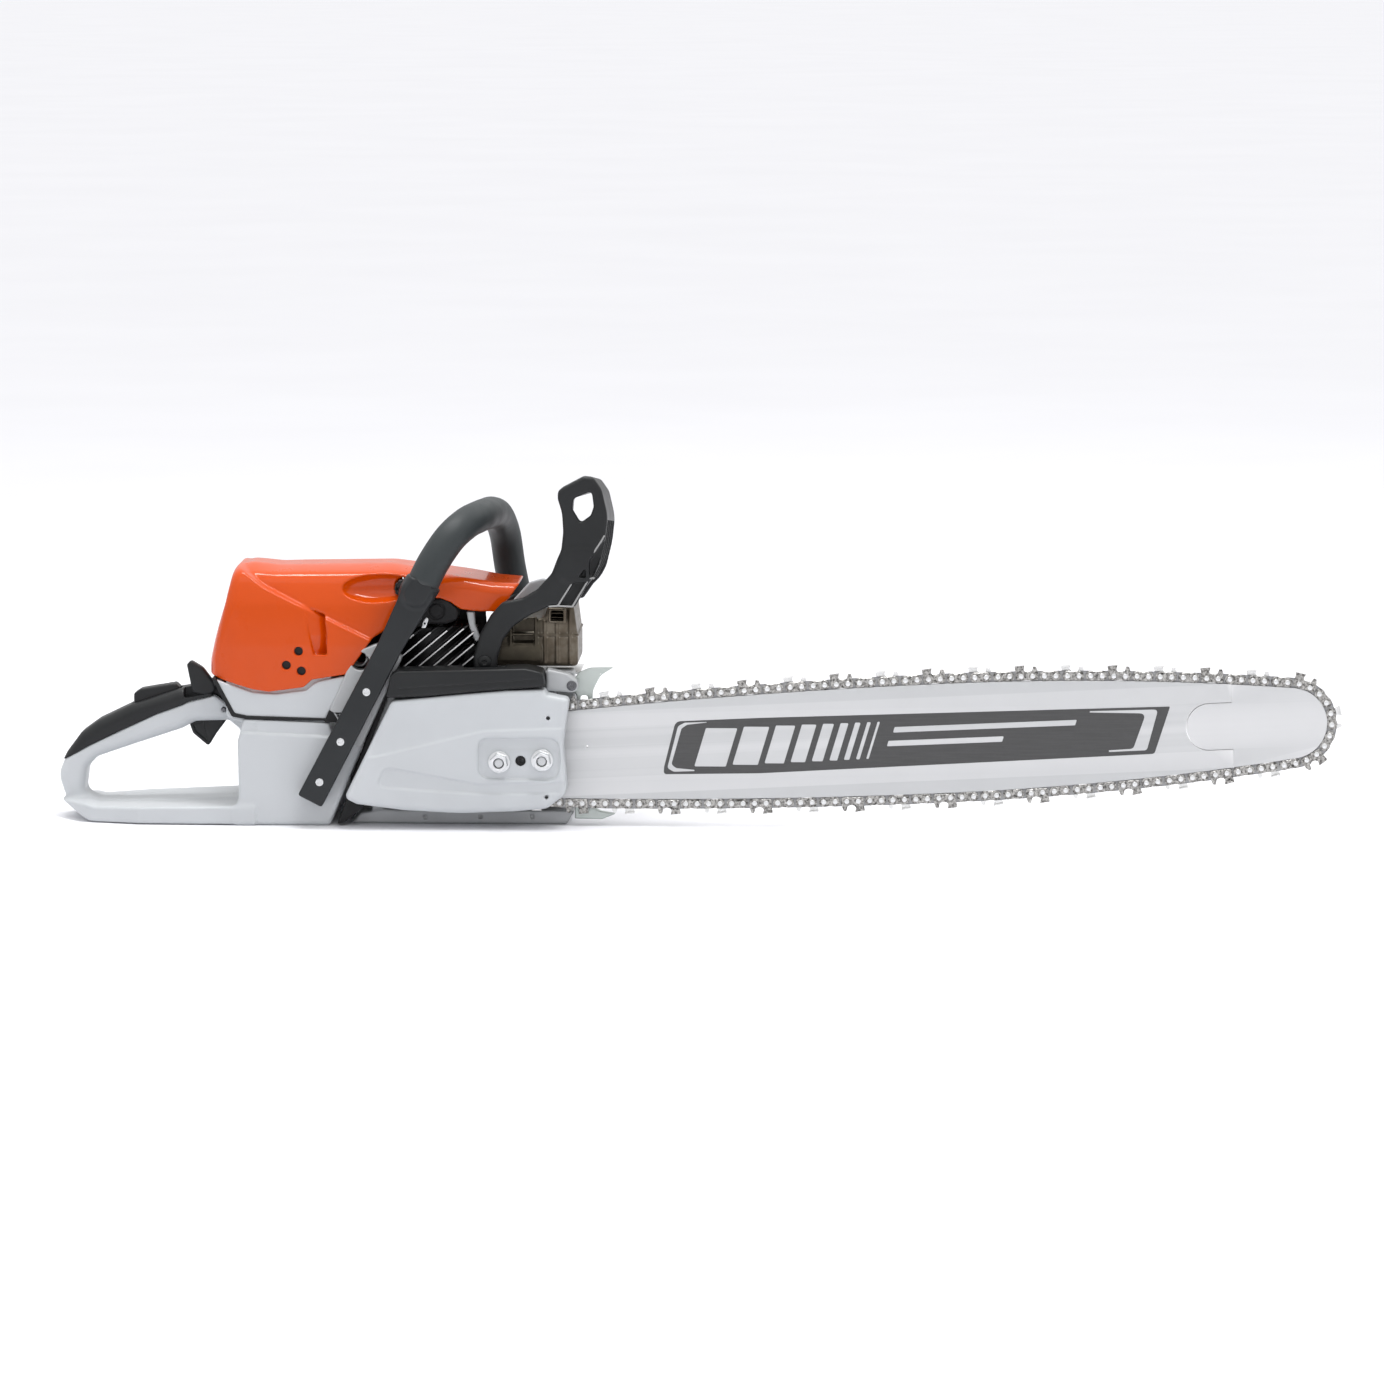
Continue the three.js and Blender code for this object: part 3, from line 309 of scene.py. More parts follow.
class Shader:
    """A Principled material built node by node. Colours are linear, scales in 1/m."""

    def __init__(self, name):
        self.material = bpy.data.materials.new(name)
        self.material.use_nodes = True
        self.tree = self.material.node_tree
        self.surface = self.tree.nodes["Principled BSDF"]
        self.place = self.node("ShaderNodeTexCoord").outputs["Object"]

    def node(self, kind, **values):
        made = self.tree.nodes.new(kind)
        for key, value in values.items():
            if key in made.inputs:
                made.inputs[key].default_value = value
            else:
                setattr(made, key, value)
        return made

    def link(self, output, target):
        self.tree.links.new(output, target)

    def noise(self, scale, detail=3.0, roughness=0.55, stretch=None):
        made = self.node("ShaderNodeTexNoise", Scale=scale, Detail=detail, Roughness=roughness)
        source = self.place
        if stretch:
            mapping = self.node("ShaderNodeMapping", Scale=stretch)
            self.link(source, mapping.inputs["Vector"])
            source = mapping.outputs["Vector"]
        self.link(source, made.inputs["Vector"])
        return made.outputs["Fac"]

    def grain(self, scale):
        made = self.node("ShaderNodeTexVoronoi", Scale=scale)
        self.link(self.place, made.inputs["Vector"])
        return made.outputs["Distance"]

    def ramp(self, value, stops):
        made = self.node("ShaderNodeValToRGB")
        elements = made.color_ramp.elements
        while len(elements) < len(stops):
            elements.new(0.5)
        for element, (position, colour) in zip(elements, stops):
            element.position = position
            element.color = (*colour, 1) if len(colour) == 3 else colour
        self.link(value, made.inputs["Fac"])
        return made.outputs["Color"]

    def span(self, value, low, high, from_low=0.3, from_high=0.7):
        made = self.node("ShaderNodeMapRange")
        for key, number in zip(RANGE_LIMITS, (from_low, from_high, low, high)):
            made.inputs[key].default_value = number
        self.link(value, made.inputs["Value"])
        return made.outputs["Result"]

    def mix(self, fac, a, b):
        made = self.node("ShaderNodeMix", data_type="RGBA")
        self.link(fac, made.inputs["Factor"])
        for socket, value in ((made.inputs["A"], a), (made.inputs["B"], b)):
            if isinstance(value, bpy.types.NodeSocket):
                self.link(value, socket)
            else:
                socket.default_value = (*value, 1)
        return made.outputs["Result"]

    def edges(self, low=0.52, high=0.6):
        """1 along outer edges, 0 on flats."""
        return self.span(self.node("ShaderNodeNewGeometry").outputs["Pointiness"], 0, 1, low, high)

    def set(self, **values):
        for key, value in values.items():
            socket = self.surface.inputs[key.replace("_", " ")]
            if isinstance(value, bpy.types.NodeSocket):
                self.link(value, socket)
            else:
                socket.default_value = value
        return self

    def bump(self, height, strength, distance):
        made = self.node("ShaderNodeBump", Strength=strength, Distance=distance)
        self.link(height, made.inputs["Height"])
        self.link(made.outputs["Normal"], self.surface.inputs["Normal"])
        return self


def tone(colour, factor):
    return tuple(min(1.0, c * factor) for c in colour)


def plastic(name, colour, roughness, grain_size, grain_depth, coat=0.0, wear=None, spread=0.06, gloss=0.3):
    """Moulded plastic: faint colour drift, a fine moulded grain and edges rubbed towards wear."""
    s = Shader(name)
    drift = s.ramp(s.noise(14), [(0.3, tone(colour, 1 - spread)), (0.7, tone(colour, 1 + spread))])
    worn = s.mix(s.edges(), drift, wear or tone(colour, 1.25))
    s.set(Base_Color=worn, Roughness=s.span(s.noise(60, 4), roughness - 0.05, roughness + 0.06))
    s.set(Coat_Weight=coat, Coat_Roughness=0.06, Specular_IOR_Level=gloss)
    return s.bump(s.grain(1000 / grain_size), 0.35, grain_depth / 1000).material


def metal(name, colour, roughness, brushed=None, wear=None, spread=0.1, metallic=1.0, bump=0.02):
    """Metal with drifting tone and either brushing along one direction or a fine cast grain."""
    s = Shader(name)
    fine = s.noise(900, 4, 0.6, brushed) if brushed else s.noise(1400, 4)
    drift = s.ramp(s.noise(25), [(0.3, tone(colour, 1 - spread)), (0.7, tone(colour, 1 + spread))])
    worn = s.mix(s.edges(), drift, wear or tone(colour, 1.3))
    s.set(Base_Color=worn, Metallic=metallic, Roughness=s.span(fine, roughness - 0.08, roughness + 0.1))
    return s.bump(fine, 0.4, bump / 1000).material


def chain_steel():
    """Oiled steel: bright rubbed edges, with dark oil in small drifting patches."""
    s = Shader("chain_steel")
    oil = s.ramp(s.noise(420, 5, 0.7), [(0.36, (0.035, 0.033, 0.03)), (0.6, (0.5, 0.49, 0.47))])
    s.set(Base_Color=s.mix(s.edges(0.5, 0.56), oil, (0.75, 0.75, 0.74)), Metallic=1.0)
    s.set(Roughness=s.span(s.noise(500, 3), 0.22, 0.5))
    return s.bump(s.noise(1500, 3), 0.3, 0.00002).material


def muffler_steel():
    """Sheet steel tinted brown by heat, in broad drifting bands, with the body behind X 395 to 399 much darker."""
    s = Shader("muffler_steel")
    sheet_colour = s.ramp(s.noise(38, 4, 0.6), [(0.28, (0.038, 0.03, 0.02)), (0.5, (0.1, 0.08, 0.057)),
        (0.74, (0.22, 0.195, 0.155))])
    place = s.node("ShaderNodeSeparateXYZ")
    s.link(s.place, place.inputs["Vector"])
    front = s.span(place.outputs["X"], 0, 1, at(395, 0, 0).x, at(399, 0, 0).x)
    sheet_colour = s.mix(front, s.mix(s.noise(60), (0.022, 0.018, 0.013), (0.1, 0.085, 0.06)), sheet_colour)
    s.set(Base_Color=s.mix(s.edges(), sheet_colour, (0.5, 0.46, 0.38)), Metallic=0.7)
    s.set(Roughness=s.span(s.noise(300, 4), 0.3, 0.5))
    return s.bump(s.noise(700, 4), 0.35, 0.00004).material


def fibre(name, colour, scale):
    """Felt or cord: a soft mass of short threads."""
    s = Shader(name)
    threads = s.noise(scale, 6, 0.75, (1, 1, 3))
    s.set(Base_Color=s.ramp(threads, [(0.3, tone(colour, 0.75)), (0.7, colour)]), Roughness=0.95)
    s.set(Sheen_Weight=0.3)
    return s.bump(threads, 0.6, 0.0003).material


# Each row: colour, roughness, grain size and depth in mm, clear coat, colour of rubbed edges, drift, gloss.
PLASTICS = {
    "orange_plastic": ((0.58, 0.063, 0.0), 0.3, 1.6, 0.001, 0.6, (0.6, 0.07, 0.001), 0.03, 0.05),
    "white_plastic": ((0.51, 0.53, 0.55), 0.42, 0.7, 0.012, 0.1, (0.64, 0.65, 0.66), 0.03),
    "black_plastic": ((0.012, 0.013, 0.014), 0.42, 0.45, 0.04, 0, (0.06, 0.06, 0.06), 0.2),
    "grey_plastic": ((0.017, 0.019, 0.021), 0.42, 0.6, 0.03, 0, (0.09, 0.09, 0.09), 0.15),
    "rubber": ((0.014, 0.014, 0.015), 0.7, 0.5, 0.05, 0, (0.04, 0.04, 0.04), 0.2),
    "handle_rubber": ((0.034, 0.04, 0.042), 0.5, 0.5, 0.05, 0, (0.07, 0.07, 0.07), 0.12),
}
# Each row: colour, roughness, brushing, colour of rubbed edges, drift, metallic, depth of grain in mm.
METALS = {
    "bar_paint": ((0.49, 0.5, 0.51), 0.42, (0.12, 8, 8), (0.7, 0.7, 0.71), 0.02, 0.1, 0.004),
    "steel": ((0.5, 0.51, 0.52), 0.32, (6, 0.2, 6), (0.8, 0.8, 0.8)),
    "bright_steel": ((0.68, 0.69, 0.7), 0.4, None, (0.9, 0.9, 0.9), 0.06),
    "spike_steel": ((0.5, 0.54, 0.52), 0.42, (5, 5, 0.4), (0.8, 0.8, 0.8), 0.08, 0.7),
    "dark_steel": ((0.14, 0.14, 0.15), 0.4, None, (0.4, 0.4, 0.4)),
    "magnesium": ((0.42, 0.43, 0.44), 0.5, None, (0.62, 0.62, 0.62), 0.06, 0.35, 0.06),
    "casting": ((0.55, 0.55, 0.55), 0.45, None, (0.8, 0.8, 0.8), 0.08, 0.9, 0.06),
    "aluminium_sheet": ((0.72, 0.72, 0.71), 0.35, (0.3, 6, 6), (0.9, 0.9, 0.9), 0.05),
    "black_casting": ((0.02, 0.02, 0.021), 0.45, None, (0.3, 0.3, 0.3), 0.2, 0.3, 0.05),
}
MATERIALS = {name: plastic(name, *values) for name, values in PLASTICS.items()}
MATERIALS.update({name: metal(name, *values) for name, values in METALS.items()})
MATERIALS.update({"chain_steel": chain_steel(), "muffler_steel": muffler_steel(),
                  "felt": fibre("felt", (0.62, 0.56, 0.42), 900),
                  "cord": fibre("cord", (0.6, 0.58, 0.52), 2200)})
for node_name, node_object in frame["nodes"].items():
    node_object.data.materials.clear()
    node_object.data.materials.append(MATERIALS[SLOTS[node_name]])

# ---- tank housing and rear handle ------------------------------------------------------------
GRIP_OUTLINE = [(29, 0, 22), (-1, 9.5, 26), (-9.5, 36, 30), (-3.6, 50, 6), (-1, 55, 6), (11, 71, 12),
    (25, 81, 12), (53, 94.5, 10), (92, 107.5, 10), (118, 112, 8), (127, 110, 6), (138, 90, 6), (152, 86),
    (152, 0)]
LOOP_HOLE = [(12, 22, 9), (15, 42, 9), (24, 51, 8), (53, 61, 20), (95, 75, 8), (106, 81, 5), (134, 82, 5),
    (143.5, 74, 6), (145, 48, 10), (146, 17.5, 8), (24, 14, 8)]
BLACK_ABOVE = [(-40, 30), (-4, 48.6), (18, 61), (46, 74.4), (74, 87.4), (102, 97.4), (122, 102.8),
    (146, 87), (200, 87), (200, 200), (-40, 200)]
FUEL_CAP = axis_of("fuel_cap_turn")


def grip(space, grow=0.0):
    """The rear handle's beam with its rounded back and belly."""
    profile = without(area(GRIP_OUTLINE, space.x, space.z), area(LOOP_HOLE, space.x, space.z))
    return both(profile, between(space.y, GRIP_Y - 17, GRIP_Y + 17), 8) - grow


def tank_housing():
    space = Space((-9, -62, -1), (286, 109, 155), 1.0)
    x, y, z = space.axes
    loop = area(LOOP_HOLE, x, z)
    handle = both(grip(space), -area(BLACK_ABOVE, x, z), 0.6)
    plan = area([(-8, -18, 14), (14, -46, 22), (64, -59, 30), (160, -61), (160, 57), (60, 45, 30),
        (14, 31, 20), (-8, 10, 12)], x, y)
    rise = 0.115 * np.clip(x - 30, 0, 120) * np.clip((y + 12) / 60, 0, 1)
    floor = both(both(plan, between(z, 0, 16 + rise), 3), area([(22, 0, 14), (-12, 18), (-12, 40),
        (160, 40), (160, 0)], x, z), 2)
    tray = area([(34, -15, 3), (134, -15, 6), (134, 24, 6), (44, 22, 3)], x, y)
    floor = without(floor, both(tray, 13.6 + rise - z), 0.8)
    side = area([(141, 0, 6), (222, 0, 5), (249, 66, 4), (243, 77, 4), (224, 77, 3), (222, 85.6, 2),
        (151, 88.6, 3), (145.5, 70, 8), (144.5, 20, 8)], x, z)
    tank = both(side, between(y, -60, 60), 4)
    rim = both(area([(100, 80), (226, 74.5), (226, 100), (100, 100)], x, z), 57.6 - np.abs(y))
    tank = without(tank, rim, 0.8)
    foot = box(space, (206, 50, 4), (243, 108, 36), 6)
    whole = either(either(handle, without(floor, loop, 3), 4), without(tank, loop, 3), 4)
    whole = either(whole, foot, 4)
    whole = without(whole, disc(space, FUEL_CAP, 18.6, 48, 70), 0.8)
    whole = without(whole, box(space, (94, GRIP_Y - 7, 70), (134, GRIP_Y + 7, 99)), 0.6)
    whole = without(whole, box(space, (54, GRIP_Y - 7, 78), (96, GRIP_Y + 7, 110)))
    pins = either(disc(space, (130.5, 91.5), 1.9, -30, -17), disc(space, (160, 82), 1.4, -66, -57))
    part("tank_housing", space, without(whole, pins, 0.4))
    tank_arm()


def tank_arm():
    """The grey arm that carries the rear spring and the handle's leg, with the black stop at its foot."""
    space = Space((216, -61, 60), (288, -44, 156), 0.7)
    arm = slab(space, [(222.5, 97, 1), (236.5, 128.5, 10), (250, 147.5, 6), (262, 152, 5), (283, 141, 3),
        (249, 66, 2), (240, 66, 2)], -60, -46, 1.2)
    arm = without(arm, disc(space, (248, 137.5), 7.6, -70, -30), 0.6)
    # The arm belongs to the white tank housing but takes the grey magnesium finish, so it is drawn darker than the
    # rest of the housing.
    stands_for(skin("tank_arm", space, arm), "tank_housing", finish="magnesium")
    stop = slab(space, [(217.5, 86.5, 1), (222, 96.6, 1.5), (238, 96.6, 1), (238, 86.5, 1)], -60, -48, 1)
    detail("arm_stop", space, stop, "rubber")
    wedge_space = Space((226, -61, 0), (254, -47, 26), 0.6)
    wedge = slab(wedge_space, [(236, 23, 1), (252.5, 18.5, 2), (246, 12.5, 3), (234, 3, 2), (228, 1.2, 1)],
        -60, -48.5, 1)
    detail("foot_stop", wedge_space, wedge, "rubber")
    pin_space = Space((127, -24, 88), (134, -18, 95), 0.3)
    pin = disc(pin_space, (130.5, 91.5), 1.7, -22.2, -18.5, 0.4)
    detail("trigger_pin", pin_space, pin, "dark_steel")


def rear_grip_cover():
    space = Space((-6, GRIP_Y - 20, 45), (142, GRIP_Y + 20, 115), 0.75)
    shell = both(grip(space, 0.8), area(BLACK_ABOVE, space.x, space.z), 0.8)
    shell = without(shell, box(space, (52.5, GRIP_Y - 9, 70), (93.5, GRIP_Y + 9, 130), 1.5), 1.2)
    shell = without(shell, box(space, (97, GRIP_Y - 17, 88), (134, GRIP_Y - 6, 140), 1), 0.8)
    part("rear_grip_cover", space, shell)


def throttle_lockout():
    space = Space((52, GRIP_Y - 9, 88), (95, GRIP_Y + 9, 115), 0.5)
    paddle = slab(space, [(54, 90, 2), (54, 103.5, 3), (60, 107.4, 4), (89, 112.4, 3), (92.6, 109, 2),
        (92.6, 103), (84, 98)], GRIP_Y - 8, GRIP_Y + 8, 2.2)
    for i in range(6):
        ridge = 64 + i * 4.4
        paddle = without(paddle, bar(space, (ridge, -20, 109.6 + i * 0.62), (ridge, 20, 109.6 + i * 0.62),
            1.1), 0.4)
    part("throttle_lockout", space, paddle)


def throttle_trigger():
    space = Space((100, GRIP_Y - 7, 57), (131, GRIP_Y + 7, 95), 0.5)
    blade = slab(space, [(100.5, 77, 2), (103, 70, 4), (116, 59, 2.5), (122, 69, 10), (131, 81),
        (126, 91, 3), (116, 95, 3), (104, 89, 3)], GRIP_Y - 6, GRIP_Y + 6, 2)
    face = area([(103.5, 77), (106, 71), (115, 63.5), (112, 79)], space.x, space.z)
    blade = without(blade, both(face, 4.6 - np.abs(space.y - GRIP_Y)), 0.6)
    part("throttle_trigger", space, blade)


def master_lever():
    space = Space((98, GRIP_Y - 17, 100), (128, GRIP_Y - 6, 134), 0.5)
    lever = slab(space, [(104, 106, 3), (101.5, 119, 8), (99.5, 129, 2.5), (103, 132.6, 2.5),
        (113, 126.5, 8), (121.6, 115, 6), (123.4, 108, 3), (117, 101.5, 3)], GRIP_Y - 16, GRIP_Y - 7, 2)
    for i in range(4):
        ridge = (103.5 + i * 3.1, -10 - GRIP_Y, 133.2 - i * 1.7)
        lever = without(lever, bar(space, (ridge[0], -30, ridge[2]), (ridge[0], 10, ridge[2]), 0.9), 0.3)
    part("master_lever", space, lever)


# ---- air box and top cover -------------------------------------------------------------------
COVER_TOP = [(120, 136, 10), (136, 186, 60), (142.5, 214, 12), (155, 218, 12), (178, 213.6, 30),
    (272, 215.6, 40), (322, 207, 60), (358, 200.5, 30), (388, 198.5), (388, 60), (120, 60)]
COVER_LOWER = [(378.5, 199.5, 2), (369.5, 187, 6), (359, 176.5, 4), (341, 177.5, 8), (330, 179, 10),
    (322, 185, 8), (311, 189.5, 8), (258, 156, 8), (237, 126.5, 1.5), (208, 121.8, 3), (201, 115.5, 4),
    (172, 111.5, 10), (159, 113.5, 10), (133, 121, 6), (100, 133), (100, 260), (372, 260), (385, 230)]
CREASE = [(60, 262), (150.5, 214), (168, 200.5, 40), (201, 184, 80), (270, 150.5), (270, 60), (60, 60)]
VENT = [(201.5, 182.5, 1), (205.5, 160, 30), (209.5, 142.5, 1), (220.5, 142.5, 1), (220.6, 160, 30),
    (218.5, 175.5, 1)]
LOCK = axis_of("lock_right_turn")
COVER_WALL = 2.4


def carburetor_box():
    space = Space((126, -59, 86), (240, 57, 134), 0.9)
    x, y, z = space.axes
    side = area([(127, 121), (133, 119.8), (159, 110.8, 10), (178, 109.6), (203, 113), (208.5, 118),
        (214, 120.6), (238.5, 125.6), (219, 88, 4), (154, 90, 8), (142, 92, 6)], x, z)
    plan = area([(120, -57, 14), (242, -57, 6), (242, 55, 6), (120, 55, 14)], x, y)
    outer = both(side, plan, 2)
    cavity = both(area([(118, 150), (146, 93.5, 6), (155, 93.2, 5), (217, 91, 4), (240, 150)], x, z),
        plan + 2.6, 2)
    shell = without(outer, cavity, 0.5)
    lip = both(both(plan + 3.4, -plan - 5.4), both(side - 5, -side - 8), 0.4)
    shell = either(shell, both(lip, between(x, 136, 224)), 0.5)
    shell = without(shell, box(space, (214, -18, 96), (260, 18, 130)))
    part("carburetor_box", space, shell)
    # A dark rubber band along the lower edge of the box: painted shade in the seam between box and tank housing.
    seam = Space((122, -60, 85), (222, 58, 126), 0.7)
    band = slab(seam, [(124.6, 123.5, 0.5), (128.4, 122, 0.5), (143.6, 93.6, 2), (154, 91.4, 4),
        (219, 89.6, 0.5), (219, 87.4, 0.5), (153.4, 88.4, 5), (141, 90.6, 3)], -58.2, 56.2, 0.6)
    band = without(band, box(seam, (128, -55, 80), (230, 53, 130)))
    detail("seam_shade_band", seam, band, "rubber")


def cover_body(space, creased=True):
    """The top cover's outer form: a rolled hood with a raised flank below the crease."""
    x, y, z = space.axes
    section = area([(-61, 60), (-61.5, 150, 30), (-58, 184, 30), (-49, 211, 22), (-20, 224, 30),
        (18, 224, 30), (47, 211, 22), (56, 184, 30), (59.5, 150, 30), (59, 60)], y, z)
    plan = area([(118, -46, 26), (146, -61.5, 30), (262, -61.5, 50), (308, -50, 60), (392, -36, 14),
        (392, 38, 14), (308, 52, 60), (262, 59.5, 50), (146, 59.5, 30), (118, 44, 26)], x, y)
    below = np.clip(-area(CREASE, x, z) / 3.2, 0, 1) if creased else 0
    ledge = (3.4 + 2.4 * np.clip((196 - x) / 45, 0, 1)) * (1 - below * below * (3 - 2 * below))
    return both(both(area(COVER_TOP, x, z), section + ledge, 9), plan + ledge, 9)


def top_cover():
    space = Space((117, -63, 109), (390, 61, 219.5), 0.9)
    x, y, z = space.axes
    body, cavity = cover_body(space), cover_body(space, creased=False) + COVER_WALL
    for side, middle in ((-1, 0), (1, -2)):
        out = side * (y - middle)
        lean = (x - 263.5 - 0.25 * (z - 198)) / 31
        scoop = np.sqrt(lean ** 2 + ((z - 198.5) / 13) ** 2 + ((out - 52) / 13) ** 2)
        body = without(body, (scoop - 1) * 13, 0.6)
        cavity = without(cavity, (scoop - 1) * 13 - COVER_WALL)
    depth = 1 + 9 * np.clip((x - 203) / 16, 0, 1) ** 1.3 + 3 * np.clip((158 - z) / 14, 0, 1)
    vent = area(VENT, x, z)
    cavity = without(cavity, both(both(vent - COVER_WALL, -body - depth - COVER_WALL), y))
    body = without(body, both(both(vent, -body - depth), y), 0.6)
    shell = without(body, cavity)
    shell = both(shell, area(COVER_LOWER, x, z), 0.7)
    for hole in ((197, 145.5), (186.8, 133.8), (199.2, 129)):
        shell = without(shell, disc(space, hole, 3.7, -80, -40), 0.4)
    for y0, y1 in ((-80, -20), (20, 80)):
        shell = without(shell, disc(space, LOCK, 8.6, y0, y1), 0.5)
    part("top_cover", space, shell, 6)
    # A black plate behind the vent: painted shade in the vent's opening.
    vent_shade_space = Space((178, -55, 120), (208, -52, 154), 0.8)
    plate = slab(vent_shade_space, [(179, 122, 4), (205, 122, 4), (206, 152, 4), (181, 152, 4)], -54.6, -53)
    detail("vent_shade_plate", vent_shade_space, plate, "black_plastic")


def cover_locks():
    for node, y0, y1, out in (("cover_lock_right", -53.5, -40, -1), ("cover_lock_left", 37, 50.5, 1)):
        low, high = (LOCK[0] - 9, min(y0, y1) - 4, LOCK[1] - 9), (LOCK[0] + 9, max(y0, y1) + 4, LOCK[1] + 9)
        space = Space(low, high, 0.4)
        angle = np.arctan2(space.z - LOCK[1], space.x - LOCK[0])
        reach = np.hypot(space.x - LOCK[0], space.z - LOCK[1]) - 7.6 - 0.35 * np.cos(12 * angle)
        knob = both(reach, between(space.y, y0, y1), 1.4)
        face = y0 if out < 0 else y1
        for wide, deep, tall in ((1.3, 3, 5.5), (5.5, 2, 1.3)):
            groove = box(space, (LOCK[0] - wide, face - deep, LOCK[1] - tall),
                (LOCK[0] + wide, face + deep, LOCK[1] + tall))
            knob = without(knob, groove, 0.5)
        ring = np.hypot(np.hypot(space.x - LOCK[0], space.z - LOCK[1]) - 6, space.y - face) - 0.5
        part(node, space, without(knob, ring, 0.2))


tank_housing()
rear_grip_cover()
throttle_lockout()
throttle_trigger()
master_lever()
carburetor_box()
top_cover()
cover_locks()

# ---- front handle and its flat leg -----------------------------------------------------------
LEG_BASE, LEG_TOP = np.array((207.0, 23.0)), np.array((299.5, 200.0))
LEG_LENGTH = float(np.linalg.norm(LEG_TOP - LEG_BASE))
LEG_WAY = (LEG_TOP - LEG_BASE) / LEG_LENGTH
RAIL_SCREWS = (0.09, 0.28, 0.515)     # places along the leg, as shares of its length
RECESS_RADIUS = 1.9                   # mean radius of the recess in a screw head
HANDLE_PATH = [(301, -69, 203), (309.5, -68, 220), (323, -61, 240), (335, -44, 250.5), (343, -22, 253.5),
    (348, 5, 253.5), (351, 38, 251.5), (354.5, 68, 245), (358.5, 90, 228), (362, 99, 200), (369, 103, 160),
    (373, 104, 110), (368, 103, 70), (352, 101, 40), (325, 100, 24), (290, 99, 19), (244, 99, 19)]


def on_leg(share):
    return tuple(LEG_BASE + (LEG_TOP - LEG_BASE) * share)


def handle_rail():
    space = Space((192, -79, 14), (320, -54, 215), 0.7)
    x, y, z = space.axes
    up = (x - LEG_BASE[0]) * LEG_WAY[0] + (z - LEG_BASE[1]) * LEG_WAY[1]
    across = (x - LEG_BASE[0]) * LEG_WAY[1] - (z - LEG_BASE[1]) * LEG_WAY[0]
    flat = area([(0, -11, 2), (0, 11, 2), (0.72 * LEG_LENGTH, 10.2, 60), (LEG_LENGTH, 13.5, 5),
        (LEG_LENGTH, -13.5, 5), (0.72 * LEG_LENGTH, -10.2, 60)], up, across)
    rail = both(flat, between(y, -77.5, -61.3), 1.6)
    collar = bar(space, (296.5, -69.4, 196), (303, -68.8, 206), 15)
    rail = either(rail, both(both(collar, y + 61.3, 1), up - LEG_LENGTH - 6, 2), 2.5)
    for share in RAIL_SCREWS:
        rail = without(rail, disc(space, on_leg(share), 3.1, -80, -50), 0.3)
    part("handle_rail", space, rail)


def pan_screw(name, centre, radius, face, bore, depth):
    """A screw along Y with a domed head whose top is at face, and a six-lobed recess."""
    space = Space((centre[0] - radius - 1, face - 1, centre[1] - radius - 1),
        (centre[0] + radius + 1, face + depth, centre[1] + radius + 1), 0.3)
    x, y, z = space.x - centre[0], space.y, space.z - centre[1]
    reach = np.sqrt(x * x + z * z)
    dome = both(reach - radius, between(y, face, face + 3), 1.2)
    dome = both(dome, np.sqrt(reach ** 2 + (y - face - 13) ** 2) - 13.2)
    lobes = reach - RECESS_RADIUS * (1 + 0.14 * np.cos(6 * np.arctan2(z, x)))
    head = without(dome, both(lobes, y - face - 2), 0.2)
    shank = both(reach - bore, between(y, face + 1, face + depth - 1), 0.4)
    return skin(name, space, either(head, shank, 0.3))


def front_handle():
    points = np.array(HANDLE_PATH, float)
    ends = np.vstack([2 * points[0] - points[1], points, 2 * points[-1] - points[-2]])
    path = []
    for i in range(len(points) - 1):
        a, b, c, d = ends[i:i + 4]
        knots = np.cumsum([0] + [np.linalg.norm(q - p) ** 0.5 for p, q in ((a, b), (b, c), (c, d))])
        for t in np.linspace(knots[1], knots[2], 9)[:-1 if i < len(points) - 2 else None]:
            legs = [((knots[k + 1] - t) * p + (t - knots[k]) * q) / (knots[k + 1] - knots[k])
                    for k, (p, q) in enumerate(((a, b), (b, c), (c, d)))]
            bends = [((knots[k + 2] - t) * legs[k] + (t - knots[k]) * legs[k + 1]) / (knots[k + 2] - knots[k])
                     for k in (0, 1)]
            path.append(((knots[2] - t) * bends[0] + (t - knots[1]) * bends[1]) / (knots[2] - knots[1]))
    path = np.array(path)
    grow = HANDLE_TUBE * np.ones(len(path))
    grow[0], grow[-1] = HANDLE_TUBE - 1.2, HANDLE_TUBE - 1.2
    sweep("front_handle", path, grow, 40, "front_handle")


def sweep(name, path, radii, sides, node):
    """A tube along a path, closed at both ends, without twist."""
    path = np.array(path, float)
    ways = unit_rows(np.gradient(path, axis=0))
    side = np.cross(ways[0], (0.3, 0.2, 0.9))
    vertices, faces = [], []
    for i, (centre, way, radius) in enumerate(zip(path, ways, radii)):
        side = side - way * (side @ way)
        side /= np.linalg.norm(side)
        other = np.cross(way, side)
        for k in range(sides):
            angle = 2 * math.pi * k / sides
            vertices.append(at(*(centre + radius * (math.cos(angle) * side + math.sin(angle) * other))))
        if i:
            base = (i - 1) * sides
            faces += [(base + k, base + (k + 1) % sides, base + sides + (k + 1) % sides, base + sides + k)
                      for k in range(sides)]
    last = (len(path) - 1) * sides
    faces += [tuple(reversed(range(sides))), tuple(range(last, last + sides))]
    mesh = bpy.data.meshes.new(name)
    mesh.from_pydata(vertices, [], faces)
    mesh.polygons.foreach_set("use_smooth", [len(face) == 4 for face in faces])
    mesh.update()
    stands_for(new_object(name, mesh), node)


# ---- sprocket cover --------------------------------------------------------------------------
STUDS = (on_bar(-57), on_bar(-21.5))
COVER_FACE = -81.5


